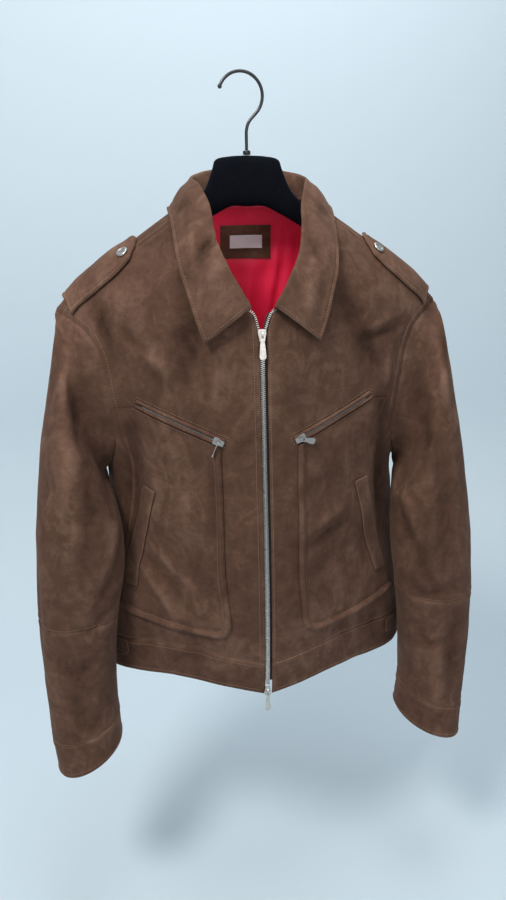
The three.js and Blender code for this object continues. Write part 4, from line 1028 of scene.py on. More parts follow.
def beside_chest_zip(on, above):
    return CHEST_ZIP[0] + np.multiply.outer(on, chest_along) + np.multiply.outer(above, chest_above)


def on_front(points, side):
    """Points of x and z for the wearer's left, set on that front or mirrored to the other."""
    points = np.asarray(points, float)
    z = points[..., 1]
    t = np.clip((z + 650) / 90, 0, 1)
    x = (1 if side == "left" else -1) * points[..., 0] + SWAY * t * t * (3 - 2 * t)
    grid = on_body(np.stack([x, z], -1))
    return grid[:, ::-1] if side == "right" and grid.ndim == 3 else grid


def sew_on_fronts(name, points, thickness, lift, *roll):
    """A pair of pieces on the fronts. roll lists pairs of a path in x and z, or None, and a profile."""
    return {
        f"{name}_{side}": sew(
            f"{name}_{side}",
            [on_front(points, side)],
            thickness,
            lift=lift,
            seam=0,
            relief=shell_relief,
            roll=[(None if path is None else on_front(path, side), profile) for path, profile in roll],
        )
        for side in ("left", "right")
    }


def chest_strip(low, high, inset, across=6, along=60):
    on = inset + (CHEST_LENGTH - 2 * inset) * shares(along)
    return np.array([beside_chest_zip(on, above + 0 * on) for above in low + (high - low) * shares(across)])


def pocket_outline():
    down, side_ways = closer_at_ends(104), closer_at_ends(56)
    side_z = np.linspace(-644, -368, 40)
    outer = even(np.column_stack([read(POCKET_SIDE, "z", "x", side_z), side_z]), down, smooth=False)
    turn = shares(12) * math.pi / 2
    corner = np.column_stack(
        [
            POCKET_INNER + POCKET_CORNER * (1 - np.sin(turn)),
            POCKET_BOTTOM + POCKET_CORNER * (1 - np.cos(turn)),
        ]
    )
    top_start = beside_chest_zip(1, -6.4)
    inner = even(np.vstack([corner, top_start]), down, smooth=False)
    bend = beside_chest_zip(CHEST_LENGTH + 1, -6.4)
    top = even([top_start, bend, outer[-1]], side_ways, smooth=False)
    bottom = even([corner[0], outer[0]], side_ways, smooth=False)
    return bottom, top, inner, outer


def make_pockets():
    bottom, top, inner, outer = pocket_outline()
    free, tucked = np.vstack([bottom, inner]), np.vstack([top, outer])
    pieces = sew_on_fronts(
        "patch_pocket",
        fill(bottom, top, inner, outer),
        SUEDE,
        POCKET_LIFT,
        (free, ROLLED_EDGE),
        (tucked, TUCKED_EDGE),
    )
    welt = (None, [(0, -0.5), (1.2, 0.5), (2.4, 0.8)])
    pieces |= sew_on_fronts("chest_welt_upper", chest_strip(0.8, 5.7, 0), WELT_WALL, WELT_LIFT, welt)
    pieces |= sew_on_fronts("chest_welt_lower", chest_strip(-5.3, -0.8, 0), WELT_WALL, WELT_LIFT, welt)
    rows = HAND_WELT["z"][-1] + (HAND_WELT["z"][0] - HAND_WELT["z"][-1]) * closer_at_ends(56)
    inner = read(HAND_WELT, "z", "inner", rows)
    outer = read(HAND_WELT, "z", "outer", rows)
    across = closer_at_ends(8)
    x = inner[:, None] + (outer - inner)[:, None] * across
    slant = 5 * (across - 0.5) * ((rows - rows[0]) / (rows[-1] - rows[0]))[:, None]
    strip = np.stack([x, rows[:, None] + slant], -1)
    edge = (None, [(0, -0.4), (1.5, 0.5), (3, 0.3), (5, 0.7)])
    return pieces | sew_on_fronts("hand_welt", strip, WELT_WALL, POCKET_LIFT + WELT_WALL + 0.9, edge)


# ---------- side tabs and zip tapes ----------
TAB_START = 177
TAB_SLOPE = 0.4  # it falls with the hem toward the side


def make_side_tabs():
    z = np.linspace(-714, -689, 15)
    v = shares(14)
    start = TAB_START + 7 * (1 - np.sqrt(np.maximum(0, 1 - (2 * v - 1) ** 4)))
    end = 0.965 * half_width(z)
    x = start[:, None] + (end - start)[:, None] * np.sin(shares(14) * math.pi / 2)
    grid = on_body(np.stack([x, z[:, None] - TAB_SLOPE * (x - TAB_START)], -1))
    return {
        "side_tab_" + side: sew(
            "side_tab_" + side,
            [grid if side == "left" else mirrored(grid)],
            SUEDE,
            lift=BAND_LIFT + SUEDE + 0.8,
            seam=0,
            relief=shell_relief,
            roll=[(None, [(0, -0.3), (1.5, 0.3), (3, 0.1), (8, 0.3)])],
        )
        for side in ("left", "right")
    }


CHAIN_X = -1.4
TAPE_LIFT = -3.2
CHAIN_TOP, CHAIN_BOTTOM = -284, -722
tape_edge = np.vstack([[(FRONT_EDGE, -718)], front_edge[np.arange(0, len(straight_edge) + 18, 2)]])
tape_edge = tape_edge[tape_edge[:, 1] < -256]


def make_tapes():
    parted = tape_edge[:, 0] - FRONT_EDGE
    pieces = {}
    for side, sign in (("left", 1), ("right", -1)):
        x = sign * CHAIN_X + 0.3 + parted[:, None] * 0.9 * np.array([1, 0.5, 0]) + np.array([0, 6.5, 13])
        x[:, 2] += parted * 0.9
        grid = on_body(np.stack([x, np.repeat(tape_edge[:, 1:], 3, 1)], -1))
        grid = grid if side == "left" else mirrored(grid)
        name = "zip_tape_" + side
        pieces[name] = sew(name, [grid], 0.8, lift=TAPE_LIFT, seam=0, relief=shell_relief)
    return pieces


# ---------- label ----------
# Left, right, bottom and top of the suede patch, and of the satin label on it.
LABEL_PATCH = (-33, 32, -201, -160)
LABEL = (-21, 21, -188, -172)
LABEL_STITCH_INSET = 1.8


def make_labels():
    def box_grid(left, right, bottom, top, steps):
        at = closer_at_ends(steps)
        x, z = np.meshgrid(left + (right - left) * at, bottom + (top - bottom) * at)
        return on_body(np.stack([x, z], -1), "back")

    lift = LINING_LIFT - LINING_WALL - 0.8
    patch = sew(
        "label_patch",
        [box_grid(*LABEL_PATCH, 24)],
        1.2,
        lift=lift,
        flip=True,
        seam=0,
        relief=shell_relief,
    )
    label = sew(
        "label",
        [box_grid(*LABEL, 12)],
        0.6,
        lift=lift - 1.7,
        flip=True,
        seam=0,
        relief=shell_relief,
    )
    return {"label_patch": patch, "label": label}


# ---------- stitching ----------
PITCH_MM = 3.3
STITCH_MM = 2.3
THREAD = 0.4  # half the thread's width


def inset(path, distance):
    """A chain of x and z points, moved sideways to its left by a distance."""
    run = unit(np.gradient(np.asarray(path, float), axis=0))
    return path + distance * np.column_stack([-run[:, 1], run[:, 0]])


def stitches(name, rows):
    """One mesh of stitches. rows is a list of (piece they are sewn through, path in 3-D)."""
    points, faces = [], []
    trees = {}
    for owner, path in rows:
        if owner not in trees:
            outer, quads = made[owner]
            trees[owner] = BVHTree.FromPolygons(outer.tolist(), quads.tolist())
        length = np.linalg.norm(np.diff(path, axis=0), axis=1).sum()
        count = max(int(length / PITCH_MM), 1)
        at = (np.arange(count) + 0.5) / count
        half = STITCH_MM / 2 / length
        for start, end in zip(even(path, at - half, False), even(path, at + half, False)):
            ends = [trees[owner].find_nearest(p) for p in (start, end)]
            if ends[0][0] is None or ends[1][0] is None or max(ends[0][3], ends[1][3]) > 8:
                continue
            normal = (ends[0][1] + ends[1][1]).normalized()
            a, b = (np.array(found[0] + normal * 0.12) for found in ends)
            run, up = unit(b - a), np.array(normal)
            side = np.cross(run, up)
            base = len(points)
            points.append(a - up * 0.25)
            for place in (a + (b - a) * 0.16, b - (b - a) * 0.16):
                for turn in range(5):
                    angle = 2 * math.pi * turn / 5
                    points.append(place + THREAD * (side * math.cos(angle) + up * math.sin(angle)))
            points.append(b - up * 0.25)
            for turn in range(5):
                after = (turn + 1) % 5
                faces.append((base, base + 1 + after, base + 1 + turn))
                faces.append((base + 1 + turn, base + 1 + after, base + 6 + after, base + 6 + turn))
                faces.append((base + 6 + turn, base + 6 + after, base + 11))
    return new_object(name, points, faces)


def around(grid, margin, sides):
    """Paths inside a grid, a margin in from its named sides; rows run from "start" to "end"."""
    rows = np.linalg.norm(np.diff(grid, axis=0), axis=2).sum(0).mean()
    columns = np.linalg.norm(np.diff(grid, axis=1), axis=2).sum(1).mean()
    down, across = margin / rows, margin / columns
    span = shares(80)
    ends = {
        "start": (across + (1 - 2 * across) * span, 0 * span + down),
        "end": (across + (1 - 2 * across) * span, 0 * span + 1 - down),
        "left": (0 * span + across, down + (1 - 2 * down) * span),
        "right": (0 * span + 1 - across, down + (1 - 2 * down) * span),
    }
    return [between(grid, *ends[side]) for side in sides]


def between(grid, across, down):
    """Points of a grid at shares of its real width and length."""
    row_run = np.r_[0, np.cumsum(np.linalg.norm(np.diff(grid, axis=0), axis=2).mean(1))]
    column_run = np.r_[0, np.cumsum(np.linalg.norm(np.diff(grid, axis=1), axis=2).mean(0))]
    row = np.interp(down, row_run / row_run[-1], np.arange(len(row_run)))
    column = np.interp(across, column_run / column_run[-1], np.arange(len(column_run)))
    i = np.minimum(row.astype(int), len(grid) - 2)
    j = np.minimum(column.astype(int), grid.shape[1] - 2)
    s, t = (row - i)[:, None], (column - j)[:, None]
    return (grid[i, j] * (1 - s) + grid[i + 1, j] * s) * (1 - t) + (
        grid[i, j + 1] * (1 - s) + grid[i + 1, j + 1] * s
    ) * t


def mirror_path(path, side):
    return path if side == "left" else path * (-1, 1, 1)


ARMHOLE_STITCH_INSET = 7
# In front the armhole's stitches lie above this level, and behind they lie below it.
ARMHOLE_STITCH_LEVEL = {"front": -384, "back": -290}
HEM_STITCH_RISE = 6  # from the hem to its lower row


def seam_stitches():
    rows = []
    for side in ("left", "right"):
        front = "front_" + side
        ahead = np.array(inset(front_armhole, ARMHOLE_STITCH_INSET))
        ahead = ahead[ahead[:, 1] > ARMHOLE_STITCH_LEVEL["front"]]
        rows.append((front, mirror_path(on_body(ahead), side)))
        behind = inset(back_armhole, ARMHOLE_STITCH_INSET)
        behind = behind[behind[:, 1] < ARMHOLE_STITCH_LEVEL["back"]]
        rows.append(("back", mirror_path(on_body(behind, "back"), side)))
        margin = 2.6 if side == "left" else 6.5
        edge = line((FRONT_EDGE + margin, -688), (FRONT_EDGE + margin, -270), 60)
        rows.append((front, mirror_path(on_body(edge), side)))
        above_hem = hem_row(60, "front", BAND + 2)[1:-1]
        rows.append((front, mirror_path(on_body(above_hem), side)))
        below_seam = hem_row(60, "front", BAND - (6 if side == "right" else 2))[1:-1]
        rows.append(("hem_band_" + front, mirror_path(on_body(below_seam), side)))
        low = hem_row(60, "front", HEM_STITCH_RISE)[1:-1]
        rows.append(("hem_band_" + front, mirror_path(on_body(low), side)))
        over_shoulder = shoulder_seam[2:-2] + (0, 3)
        rows.append(("back", mirror_path(on_body(over_shoulder), side)))
        ring = sleeves[side]
        for name, row in (("sleeve_upper_", ELBOW_RING), ("sleeve_lower_", CUFF_RING)):
            rows.append((name + side, ring[row * 2 * FINE - 1][:-1] * 0.6 + ring[row * 2 * FINE][:-1] * 0.4))
        rows.append(("cuff_" + side, ring[-3][:-1]))
    for up, owner in ((BAND + 2, "back"), (BAND - 2, "hem_band_back"), (HEM_STITCH_RISE, "hem_band_back")):
        half = on_body(hem_row(60, "back", up), "back")[:-1]
        rows.append((owner, np.vstack([half[:0:-1] * (-1, 1, 1), half])))
    return stitches("stitches_of_seams", rows)


def trim_stitches():
    rows = []
    pocket = fill(*pocket_outline())
    for side in ("left", "right"):
        for path in around(on_front(pocket, "left"), 8, ("start", "left")):
            rows.append(("patch_pocket_" + side, place_again(path, side)))
        on = shares(40) * (CHEST_LENGTH + 4) - 2
        for above in (7.6, -7.2):
            flat = beside_chest_zip(on, above + 0 * on)
            owner = "front_" + side if above > 0 else "patch_pocket_" + side
            rows.append((owner, on_front(flat, side)))
        for end in (-2.4, CHEST_LENGTH + 2.4):
            up = np.linspace(-6, 6.6, 12)
            rows.append(("front_" + side, on_front(beside_chest_zip(end + 0 * up, up), side)))
        z = np.linspace(-602, -467, 40)
        for key, shift in (("inner", 1.4), ("outer", -1.4)):
            flat = np.column_stack([read(HAND_WELT, "z", key, z) + shift, z])
            rows.append(("hand_welt_" + side, on_front(flat, side)))
        for z_end in (-466.6, -602.4):
            start, end = (read(HAND_WELT, "z", key, z_end) for key in ("inner", "outer"))
            x = np.linspace(start + 1.5, end - 1.5, 6)
            rows.append(("hand_welt_" + side, on_front(np.column_stack([x, z_end + 0 * x]), side)))
        strap = strap_grid()
        for path in around(strap, 3, ("start", "end", "left", "right")):
            rows.append(("shoulder_strap_" + side, mirror_path(path, side)))
        tab_z = np.linspace(-711, -693, 8)
        tab_end = on_body(np.column_stack([TAB_START + 0 * tab_z, tab_z]))
        rows.append(("side_tab_" + side, mirror_path(tab_end, side)))
        for level in (-711, -693):
            x = np.linspace(178, 193, 8)
            rows.append(("side_tab_" + side, mirror_path(on_body(np.column_stack([x, level + 0 * x])), side)))
    return stitches("stitches_of_trims", rows)


def place_again(path, side):
    """A path on the wearer's left front, as sewn on either front."""
    if side == "left":
        return path
    z = path[:, 2]
    t = np.clip((z + 650) / 90, 0, 1)
    sway = SWAY * t * t * (3 - 2 * t)
    return on_body(np.column_stack([-(path[:, 0] - sway) + sway, z]))


def collar_stitches(grid):
    rows = [("collar", path) for path in around(grid, 4, ("right",))]
    leaf = np.linspace(LEAF_START + 0.02, 0.97, 30)
    length = np.linalg.norm(np.diff(grid, axis=0), axis=2).sum(0).mean()
    for down in (4 / length, 1 - 4 / length):
        rows.append(("collar", between(grid, leaf, down + 0 * leaf)))
    return stitches("stitches_of_collar", rows)


def label_stitches():
    left, right, bottom, top = np.array(LABEL_PATCH) + LABEL_STITCH_INSET * np.array((1, -1, 1, -1))
    corners = [(left, bottom), (right, bottom), (right, top), (left, top), (left, bottom)]
    flat = even(corners, shares(80), smooth=False)
    return stitches("stitches_of_label", [("label_patch", on_body(flat, "back"))])


# ---------- zip chains ----------
def block(points, faces, frame_of, size):
    """Adds a rounded block, one tooth of a zip, to a mesh's points and faces."""
    place, right, up, out = frame_of
    base = len(points)
    for level, shrink in ((-0.5, 1.0), (0.25, 1.0), (0.5, 0.72)):
        for sx, sy in ((-1, -1), (1, -1), (1, 1), (-1, 1)):
            offset = right * sx * shrink * size[0] / 2 + up * sy * shrink * size[1] / 2
            points.append(place + offset + out * level * size[2])
    for level in range(2):
        for k in range(4):
            a, b = base + 4 * level + k, base + 4 * level + (k + 1) % 4
            faces.append((a, b, b + 4, a + 4))
    faces.append((base + 3, base + 2, base + 1, base))
    faces.append((base + 8, base + 9, base + 10, base + 11))


def chain(name, rows, pitch, size, lift):
    """Teeth along paths of x and z on the fronts. rows is a list of (path, sideways shift, phase)."""
    points, faces = [], []
    for path, shift, phase in rows:
        length = np.linalg.norm(np.diff(path, axis=0), axis=1).sum()
        count = int(length / pitch)
        at = np.clip((np.arange(count) + phase) / count, 0, 1)
        flat = even(path, at, smooth=False)
        run = unit(even(path, np.clip(at + 0.01, 0, 1), False) - even(path, np.clip(at - 0.01, 0, 1), False))
        flat = flat + shift * np.column_stack([run[:, 1], -run[:, 0]])
        out = outward(flat[:, 0], flat[:, 1], "front")
        along = np.column_stack([run[:, 0], 0 * run[:, 0], run[:, 1]])
        right = unit(np.cross(along, out))
        up = np.cross(out, right)
        base = on_body(flat) + out * lift
        for i in range(count):
            block(points, faces, (base[i], right[i], up[i], out[i]), size)
    return new_object(name, points, faces, smooth=False)


def make_chains():
    straight = line((CHAIN_X, CHAIN_BOTTOM), (CHAIN_X, CHAIN_TOP - 4), 60)
    rows = [(straight, 1.05, 0.25), (straight, -1.05, 0.75)]
    parting = front_edge[(front_edge[:, 1] > CHAIN_TOP + 2) & (front_edge[:, 1] < -253)]
    from_edge = parting[:, 0] - FRONT_EDGE
    for sign in (1, -1):
        x = sign * (2.2 + from_edge) + CHAIN_X * (1 - np.clip(from_edge / 6, 0, 1))
        rows.append((np.column_stack([x, parting[:, 1]]), 0, 0.5))
    pieces = {"zip_chain": chain("zip_teeth", rows, 2.15, (3.2, 1.25, 1.6), -0.3)}
    for side in ("left", "right"):
        on = np.linspace(9, CHEST_LENGTH - 9, 40)
        flat = beside_chest_zip(on, 0 * on)
        placed = on_front(flat, side)[:, [0, 2]]
        rows = [(placed, 0.3, 0.25), (placed, -0.3, 0.75)]
        pieces["chest_zip_chain_" + side] = chain("chest_zip_teeth_" + side, rows, 1.5, (0.9, 0.9, 1.0), 1.1)
    return pieces


# ---------- snaps ----------
SNAP_PLACE = (149, -27)
SNAP_PROFILE = [
    (0, 1.25), (2.6, 1.3), (4.0, 1.5), (4.9, 1.95), (5.6, 2.1),
    (6.2, 1.95), (6.7, 1.4), (7.0, 0.7), (6.9, 0), (0, 0),
]


def turned(name, profile, place, out, steps=48):
    """A solid turned about an axis that leaves a place in a direction."""
    out = Vector(out).normalized()
    frame_of = out.to_track_quat("Z", "Y").to_matrix()
    points, faces = [], []
    for radius, height in profile:
        for k in range(steps):
            angle = 2 * math.pi * k / steps
            local = Vector((radius * math.cos(angle), radius * math.sin(angle), height))
            points.append(np.array(Vector(place) + frame_of @ local))
    for i in range(len(profile) - 1):
        for k in range(steps):
            a, b = i * steps + k, i * steps + (k + 1) % steps
            faces.append((a, a + steps, b + steps, b))
    piece = new_object(name, points, faces)
    tidy = bmesh.new()
    tidy.from_mesh(piece.data)
    bmesh.ops.remove_doubles(tidy, verts=tidy.verts, dist=1e-6)
    bmesh.ops.recalc_face_normals(tidy, faces=tidy.faces)
    tidy.to_mesh(piece.data)
    tidy.free()
    return piece


def make_snaps():
    x, y = (np.array([value], float) for value in SNAP_PLACE)
    z = shoulder_height(x, y)
    out = outward(x, z, "front")[0]
    foot = np.array([x[0], y[0], z[0]]) + out * (STRAP_LIFT + 0.5)
    return {
        "snap_left": turned("snap_cap_left", SNAP_PROFILE, foot, out),
        "snap_right": turned("snap_cap_right", SNAP_PROFILE, foot * (-1, 1, 1), out * (-1, 1, 1)),
    }


# ---------- hanger ----------
# From the middle plate out along one arm; deep is half its size from front to back.
ARM = table(
    "x top bottom y deep",
    (0, -86, -142, 0, 7),
    (20, -87, -142, 0, 7),
    (37, -91, -150, 0, 7),
    (41, -101, -152, 0, 7.5),
    (50, -122, -157, -1, 8),
    (60, -134, -163, -2, 7.5),
    (82, -153, -176, -3, 8.5),
    (110, -170, -194, -3, 11),
    (136, -188, -213, -4, 12),
    (163, -205, -232, -5, 13),
    (184, -220, -247, -6, 12),
    (196, -232, -256, -6, 9),
)
SECTION = 28
WIRE = 3.7
HOOK_RADIUS = 25.15
HOOK_TIP, HOOK_FOOT = 158, -42
FERRULE_TOP = -81


def lofted(name, rings, middle):
    """A closed skin through rings of points."""
    count = len(rings[0])
    points = np.vstack(rings)
    faces = []
    for i in range(len(rings) - 1):
        for k in range(count):
            a, b = i * count + k, i * count + (k + 1) % count
            faces.append((a, b, b + count, a + count))
    last = (len(rings) - 1) * count
    faces.append(tuple(range(count))[::-1])
    faces.append(tuple(last + k for k in range(count)))
    return new_object(name, points, faces, middle=middle)


def make_hanger():
    half = np.column_stack([ARM[name] for name in ("x", "top", "bottom", "y", "deep")])
    dense = spline(half, shares(66))
    dense = np.vstack([dense[:0:-1] * (-1, 1, 1, 1, 1), dense])
    turn = 2 * np.pi * np.arange(SECTION) / SECTION

    def squarer(value):
        return np.sign(value) * np.abs(value) ** 0.7

    rings = []
    for x, top, bottom, y, deep in dense:
        tall = (top - bottom) / 2
        rings.append(
            np.column_stack(
                [x + 0 * turn, y - deep * squarer(np.sin(turn)), top - tall + tall * squarer(np.cos(turn))]
            )
        )
    for end, step in ((0, -1), (-1, 1)):
        ring = rings[end]
        centre = ring.mean(0)
        rounding = ((0.93, 1.2), (0.75, 2.4), (0.45, 3.2))
        caps = [centre + (ring - centre) * shrink + (step * out, 0, 0) for shrink, out in rounding]
        rings = caps[::-1] + rings if end == 0 else rings + caps
    return lofted("hanger_body", rings, HANGER_X)


def make_hook():
    angle = np.radians(HOOK_TIP + (HOOK_FOOT - HOOK_TIP) * shares(40))
    arc = np.column_stack(
        [
            -HANGER_X + HOOK_RADIUS * np.cos(angle),
            0 * angle,
            WIRE / 2 - HOOK_RADIUS + HOOK_RADIUS * np.sin(angle),
        ]
    )
    stem = np.array([(3, 0, -51), (0.3, 0, -59), (0, 0, -68), (0, 0, FERRULE_TOP + 0.4)], float)
    path = even(np.vstack([arc, stem]), shares(110))
    run = unit(np.gradient(path, axis=0))
    side = np.cross(run, (0, 1, 0))
    turn = 2 * np.pi * np.arange(16) / 16
    rings = []
    for place, across in zip(path, side):
        spoke = np.cos(turn)[:, None] * across + np.sin(turn)[:, None] * np.array((0, 1, 0))
        rings.append(place + WIRE / 2 * spoke)
    ball = []
    for k in range(1, 11):
        angle = math.pi * k / 12
        out = path[0] + run[0] * -2.6 * math.cos(angle)
        ball.append(out + (rings[0] - path[0]) / (WIRE / 2) * 2.6 * math.sin(angle))
    return lofted("hanger_hook_wire", ball + rings[1:], HANGER_X)


def make_ferrule():
    profile = [(0, 0), (3.9, 0), (4.4, -0.5), (4.5, -1.6), (4.5, -3.8), (4.2, -4.5), (0, -4.6)]
    return turned("hanger_ferrule_ring", profile, (HANGER_X - MIDDLE_X, 0, FERRULE_TOP), (0, 0, 1))


# ---------- finishes ----------
def add(tree, kind, inputs=None, **settings):
    """A node with its settings, and its inputs as values or as the sockets that feed them."""
    node = tree.nodes.new(kind)
    for name, value in settings.items():
        setattr(node, name, value)
    for name, value in (inputs or {}).items():
        if isinstance(value, bpy.types.NodeSocket):
            tree.links.new(value, node.inputs[name])
        else:
            node.inputs[name].default_value = value
    return node


def group(name, inputs, outputs):
    """An empty node group. inputs and outputs are pairs of a name and a kind of socket, or a default."""
    tree = bpy.data.node_groups.new(name, "ShaderNodeTree")
    for label, default in inputs.items():
        kind = "NodeSocketColor" if isinstance(default, tuple) else "NodeSocketFloat"
        tree.interface.new_socket(label, in_out="INPUT", socket_type=kind).default_value = default
    for label, kind in outputs.items():
        tree.interface.new_socket(label, in_out="OUTPUT", socket_type="NodeSocket" + kind)
    return tree, tree.nodes.new("NodeGroupInput").outputs, tree.nodes.new("NodeGroupOutput")


def place_group(tree, source, values):
    node = add(tree, "ShaderNodeGroup", node_tree=source)
    for name, value in values.items():
        node.inputs[name].default_value = value
    return node.outputs


def math_of(tree, operation, a, b, clamp=False):
    node = add(tree, "ShaderNodeMath", {0: a, 1: b}, operation=operation, use_clamp=clamp)
    return node.outputs["Value"]


def multiply_add(tree, value, factor, addend):
    values = {0: value, 1: factor, 2: addend}
    return add(tree, "ShaderNodeMath", values, operation="MULTIPLY_ADD").outputs[0]


def noise_of(tree, where, scale, detail=3.0, roughness=0.5, distortion=0.0):
    values = {"Vector": where, "Scale": scale, "Detail": detail}
    values |= {"Roughness": roughness, "Distortion": distortion}
    return add(tree, "ShaderNodeTexNoise", values).outputs["Fac"]


def spread(tree, value, low, high):
    """A value stretched so that low to high covers 0 to 1."""
    node = add(tree, "ShaderNodeMapRange", {"Value": value, "From Min": low, "From Max": high})
    return node.outputs["Result"]


def blend_of(tree, kind, factor, a, b):
    node = add(tree, "ShaderNodeMix", {"Factor": factor}, data_type="RGBA", blend_type=kind)
    for socket, value in (("A_Color", a), ("B_Color", b)):
        found = next(s for s in node.inputs if s.identifier == socket)
        if isinstance(value, bpy.types.NodeSocket):
            tree.links.new(value, found)
        else:
            found.default_value = value
    return next(s for s in node.outputs if s.identifier == "Result_Color")


def stretched(tree, where, scale, turn=0):
    node = add(tree, "ShaderNodeMapping", {"Vector": where, "Scale": scale, "Rotation": (0, turn, 0)})
    return node.outputs["Vector"]


def make_suede_nap():
    """Nap brushed both ways: pale and dark patches, short strokes, and the fibres themselves. The folds'
    creases get painted shade, and their ridges a paler nap that is partly rubbed nap and partly painted
    highlight.
    """
    shown = {"Color": "Color", "Roughness": "Float", "Height": "Float"}
    values = {
        "Base": (0.1, 0.06, 0.05, 1),
        "Pale": (0.2, 0.13, 0.1, 1),
        "Dark": (0.04, 0.025, 0.02, 1),
        "Patchiness": 1.0,
    }
    tree, given, shows = group("suede nap", values, shown)
    where = add(tree, "ShaderNodeTexCoord").outputs["Object"]
    patches = spread(tree, noise_of(tree, where, 13, 3, 0.5, 0.9), 0.34, 0.66)
    strokes = noise_of(tree, stretched(tree, where, (1, 1, 0.7), 0.5), 44, 4, 0.55, 1.3)
    strokes = spread(tree, strokes, 0.36, 0.66)
    crossed = noise_of(tree, stretched(tree, where, (0.7, 1, 1), -0.4), 150, 3, 0.6, 0.6)
    crossed = spread(tree, crossed, 0.3, 0.7)
    speckle = noise_of(tree, where, 620, 2, 0.7)
    fibre = noise_of(tree, where, 2600, 2, 0.6)
    # rise paints the folds: creases darker (painted shade), ridges paler (rubbed nap and painted highlight).
    rise = add(tree, "ShaderNodeAttribute", attribute_name="rise").outputs["Fac"]
    edge = add(tree, "ShaderNodeAttribute", attribute_name="edge").outputs["Fac"]
    shade = math_of(tree, "MULTIPLY", patches, 0.3)
    for part, weight in ((strokes, 0.26), (crossed, 0.18), (speckle, 0.3), (rise, 0.35), (edge, 0.16)):
        shade = multiply_add(tree, part, weight, shade)
    shade = math_of(tree, "SUBTRACT", shade, 0.52)
    shade = math_of(tree, "MULTIPLY", shade, given["Patchiness"])
    paler = math_of(tree, "MULTIPLY", shade, 1.7, clamp=True)
    darker = math_of(tree, "MULTIPLY", shade, -1.7, clamp=True)
    color = blend_of(tree, "MIX", paler, given["Base"], given["Pale"])
    color = blend_of(tree, "MIX", darker, color, given["Dark"])
    tree.links.new(color, shows.inputs["Color"])
    values = {"Value": strokes, "To Min": 0.95, "To Max": 0.82}
    rough = add(tree, "ShaderNodeMapRange", values).outputs["Result"]
    tree.links.new(rough, shows.inputs["Roughness"])
    height = math_of(tree, "MULTIPLY", fibre, 0.25)
    for part, weight in ((speckle, 0.45), (crossed, 0.3), (strokes, 0.25)):
        height = multiply_add(tree, part, weight, height)
    tree.links.new(height, shows.inputs["Height"])
    return tree


def make_weave():
    """Threads over and under, along X and Z, with a mask of the raised ones."""
    shown = {"Height": "Float", "Raised": "Float"}
    tree, given, shows = group("weave", {"Threads": 1500.0, "Twill": 0.0}, shown)
    where = add(tree, "ShaderNodeTexCoord").outputs["Object"]
    parts = add(tree, "ShaderNodeSeparateXYZ", {"Vector": where}).outputs
    across = math_of(tree, "MULTIPLY", parts["X"], given["Threads"])
    down = math_of(tree, "MULTIPLY", parts["Z"], given["Threads"])
    down = multiply_add(tree, across, given["Twill"], down)
    waves = [add(tree, "ShaderNodeMath", {0: value}, operation="SINE").outputs[0] for value in (across, down)]
    crossing = math_of(tree, "MULTIPLY", *waves)
    height = multiply_add(tree, crossing, 0.5, 0.5)
    tree.links.new(height, shows.inputs["Height"])
    tree.links.new(spread(tree, crossing, -0.2, 0.6), shows.inputs["Raised"])
    return tree


def make_wear():
    """Fine scratches and dulled patches of metal and paint."""
    tree, given, shows = group("wear", {"Scratches": 1.0}, {"Mask": "Float", "Height": "Float"})
    where = add(tree, "ShaderNodeTexCoord").outputs["Object"]
    long_way = noise_of(tree, stretched(tree, where, (1, 1, 0.06), 0.6), 2400, 2, 0.7)
    other_way = noise_of(tree, stretched(tree, where, (0.05, 1, 1), -0.3), 1900, 2, 0.7)
    scratches = math_of(tree, "MAXIMUM", spread(tree, long_way, 0.6, 0.72), spread(tree, other_way, 0.62, 0.74))
    scratches = math_of(tree, "MULTIPLY", scratches, given["Scratches"], clamp=True)
    dulled = spread(tree, noise_of(tree, where, 160, 3, 0.6), 0.42, 0.7)
    mask = multiply_add(tree, dulled, 0.5, scratches)
    tree.links.new(mask, shows.inputs["Mask"])
    tree.links.new(scratches, shows.inputs["Height"])
    return tree


def make_lint():
    """Specks of dust caught in a pile."""
    tree, given, shows = group("lint", {"Amount": 0.5}, {"Mask": "Float"})
    where = add(tree, "ShaderNodeTexCoord").outputs["Object"]
    cells = add(tree, "ShaderNodeTexVoronoi", {"Vector": where, "Scale": 420.0, "Randomness": 1.0})
    specks = spread(tree, cells.outputs["Distance"], 0.14, 0.05)
    rare = spread(tree, noise_of(tree, where, 210, 2, 0.6), 0.56, 0.62)
    mask = math_of(tree, "MULTIPLY", math_of(tree, "MULTIPLY", specks, rare), given["Amount"], clamp=True)
    tree.links.new(mask, shows.inputs["Mask"])
    return tree


suede_nap, weave, wear, lint = make_suede_nap(), make_weave(), make_wear(), make_lint()


def material(name, **sockets):
    """A new material, with the sockets of its shader set; returns it, its tree and its shader."""
    made_of = bpy.data.materials.new(name)
    made_of.use_nodes = True
    tree = made_of.node_tree
    shader = tree.nodes["Principled BSDF"]
    for label, value in sockets.items():
        shader.inputs[label.replace("_", " ")].default_value = value
    return made_of, tree, shader


def bump(tree, shader, height, strength, distance):
    node = add(tree, "ShaderNodeBump", {"Height": height, "Strength": strength, "Distance": distance})
    tree.links.new(node.outputs["Normal"], shader.inputs["Normal"])


def suede(name, base, pale, dark, patchiness):
    made_of, tree, shader = material(
        name, Sheen_Weight=0.12, Sheen_Roughness=0.5, Sheen_Tint=(0.8, 0.5, 0.38, 1), Specular_IOR_Level=0.1
    )
    values = {"Base": (*base, 1), "Pale": (*pale, 1), "Dark": (*dark, 1), "Patchiness": patchiness}
    nap = place_group(tree, suede_nap, values)
    tree.links.new(nap["Color"], shader.inputs["Base Color"])
    tree.links.new(nap["Roughness"], shader.inputs["Roughness"])
    bump(tree, shader, nap["Height"], 0.55, 0.0006)
    return made_of


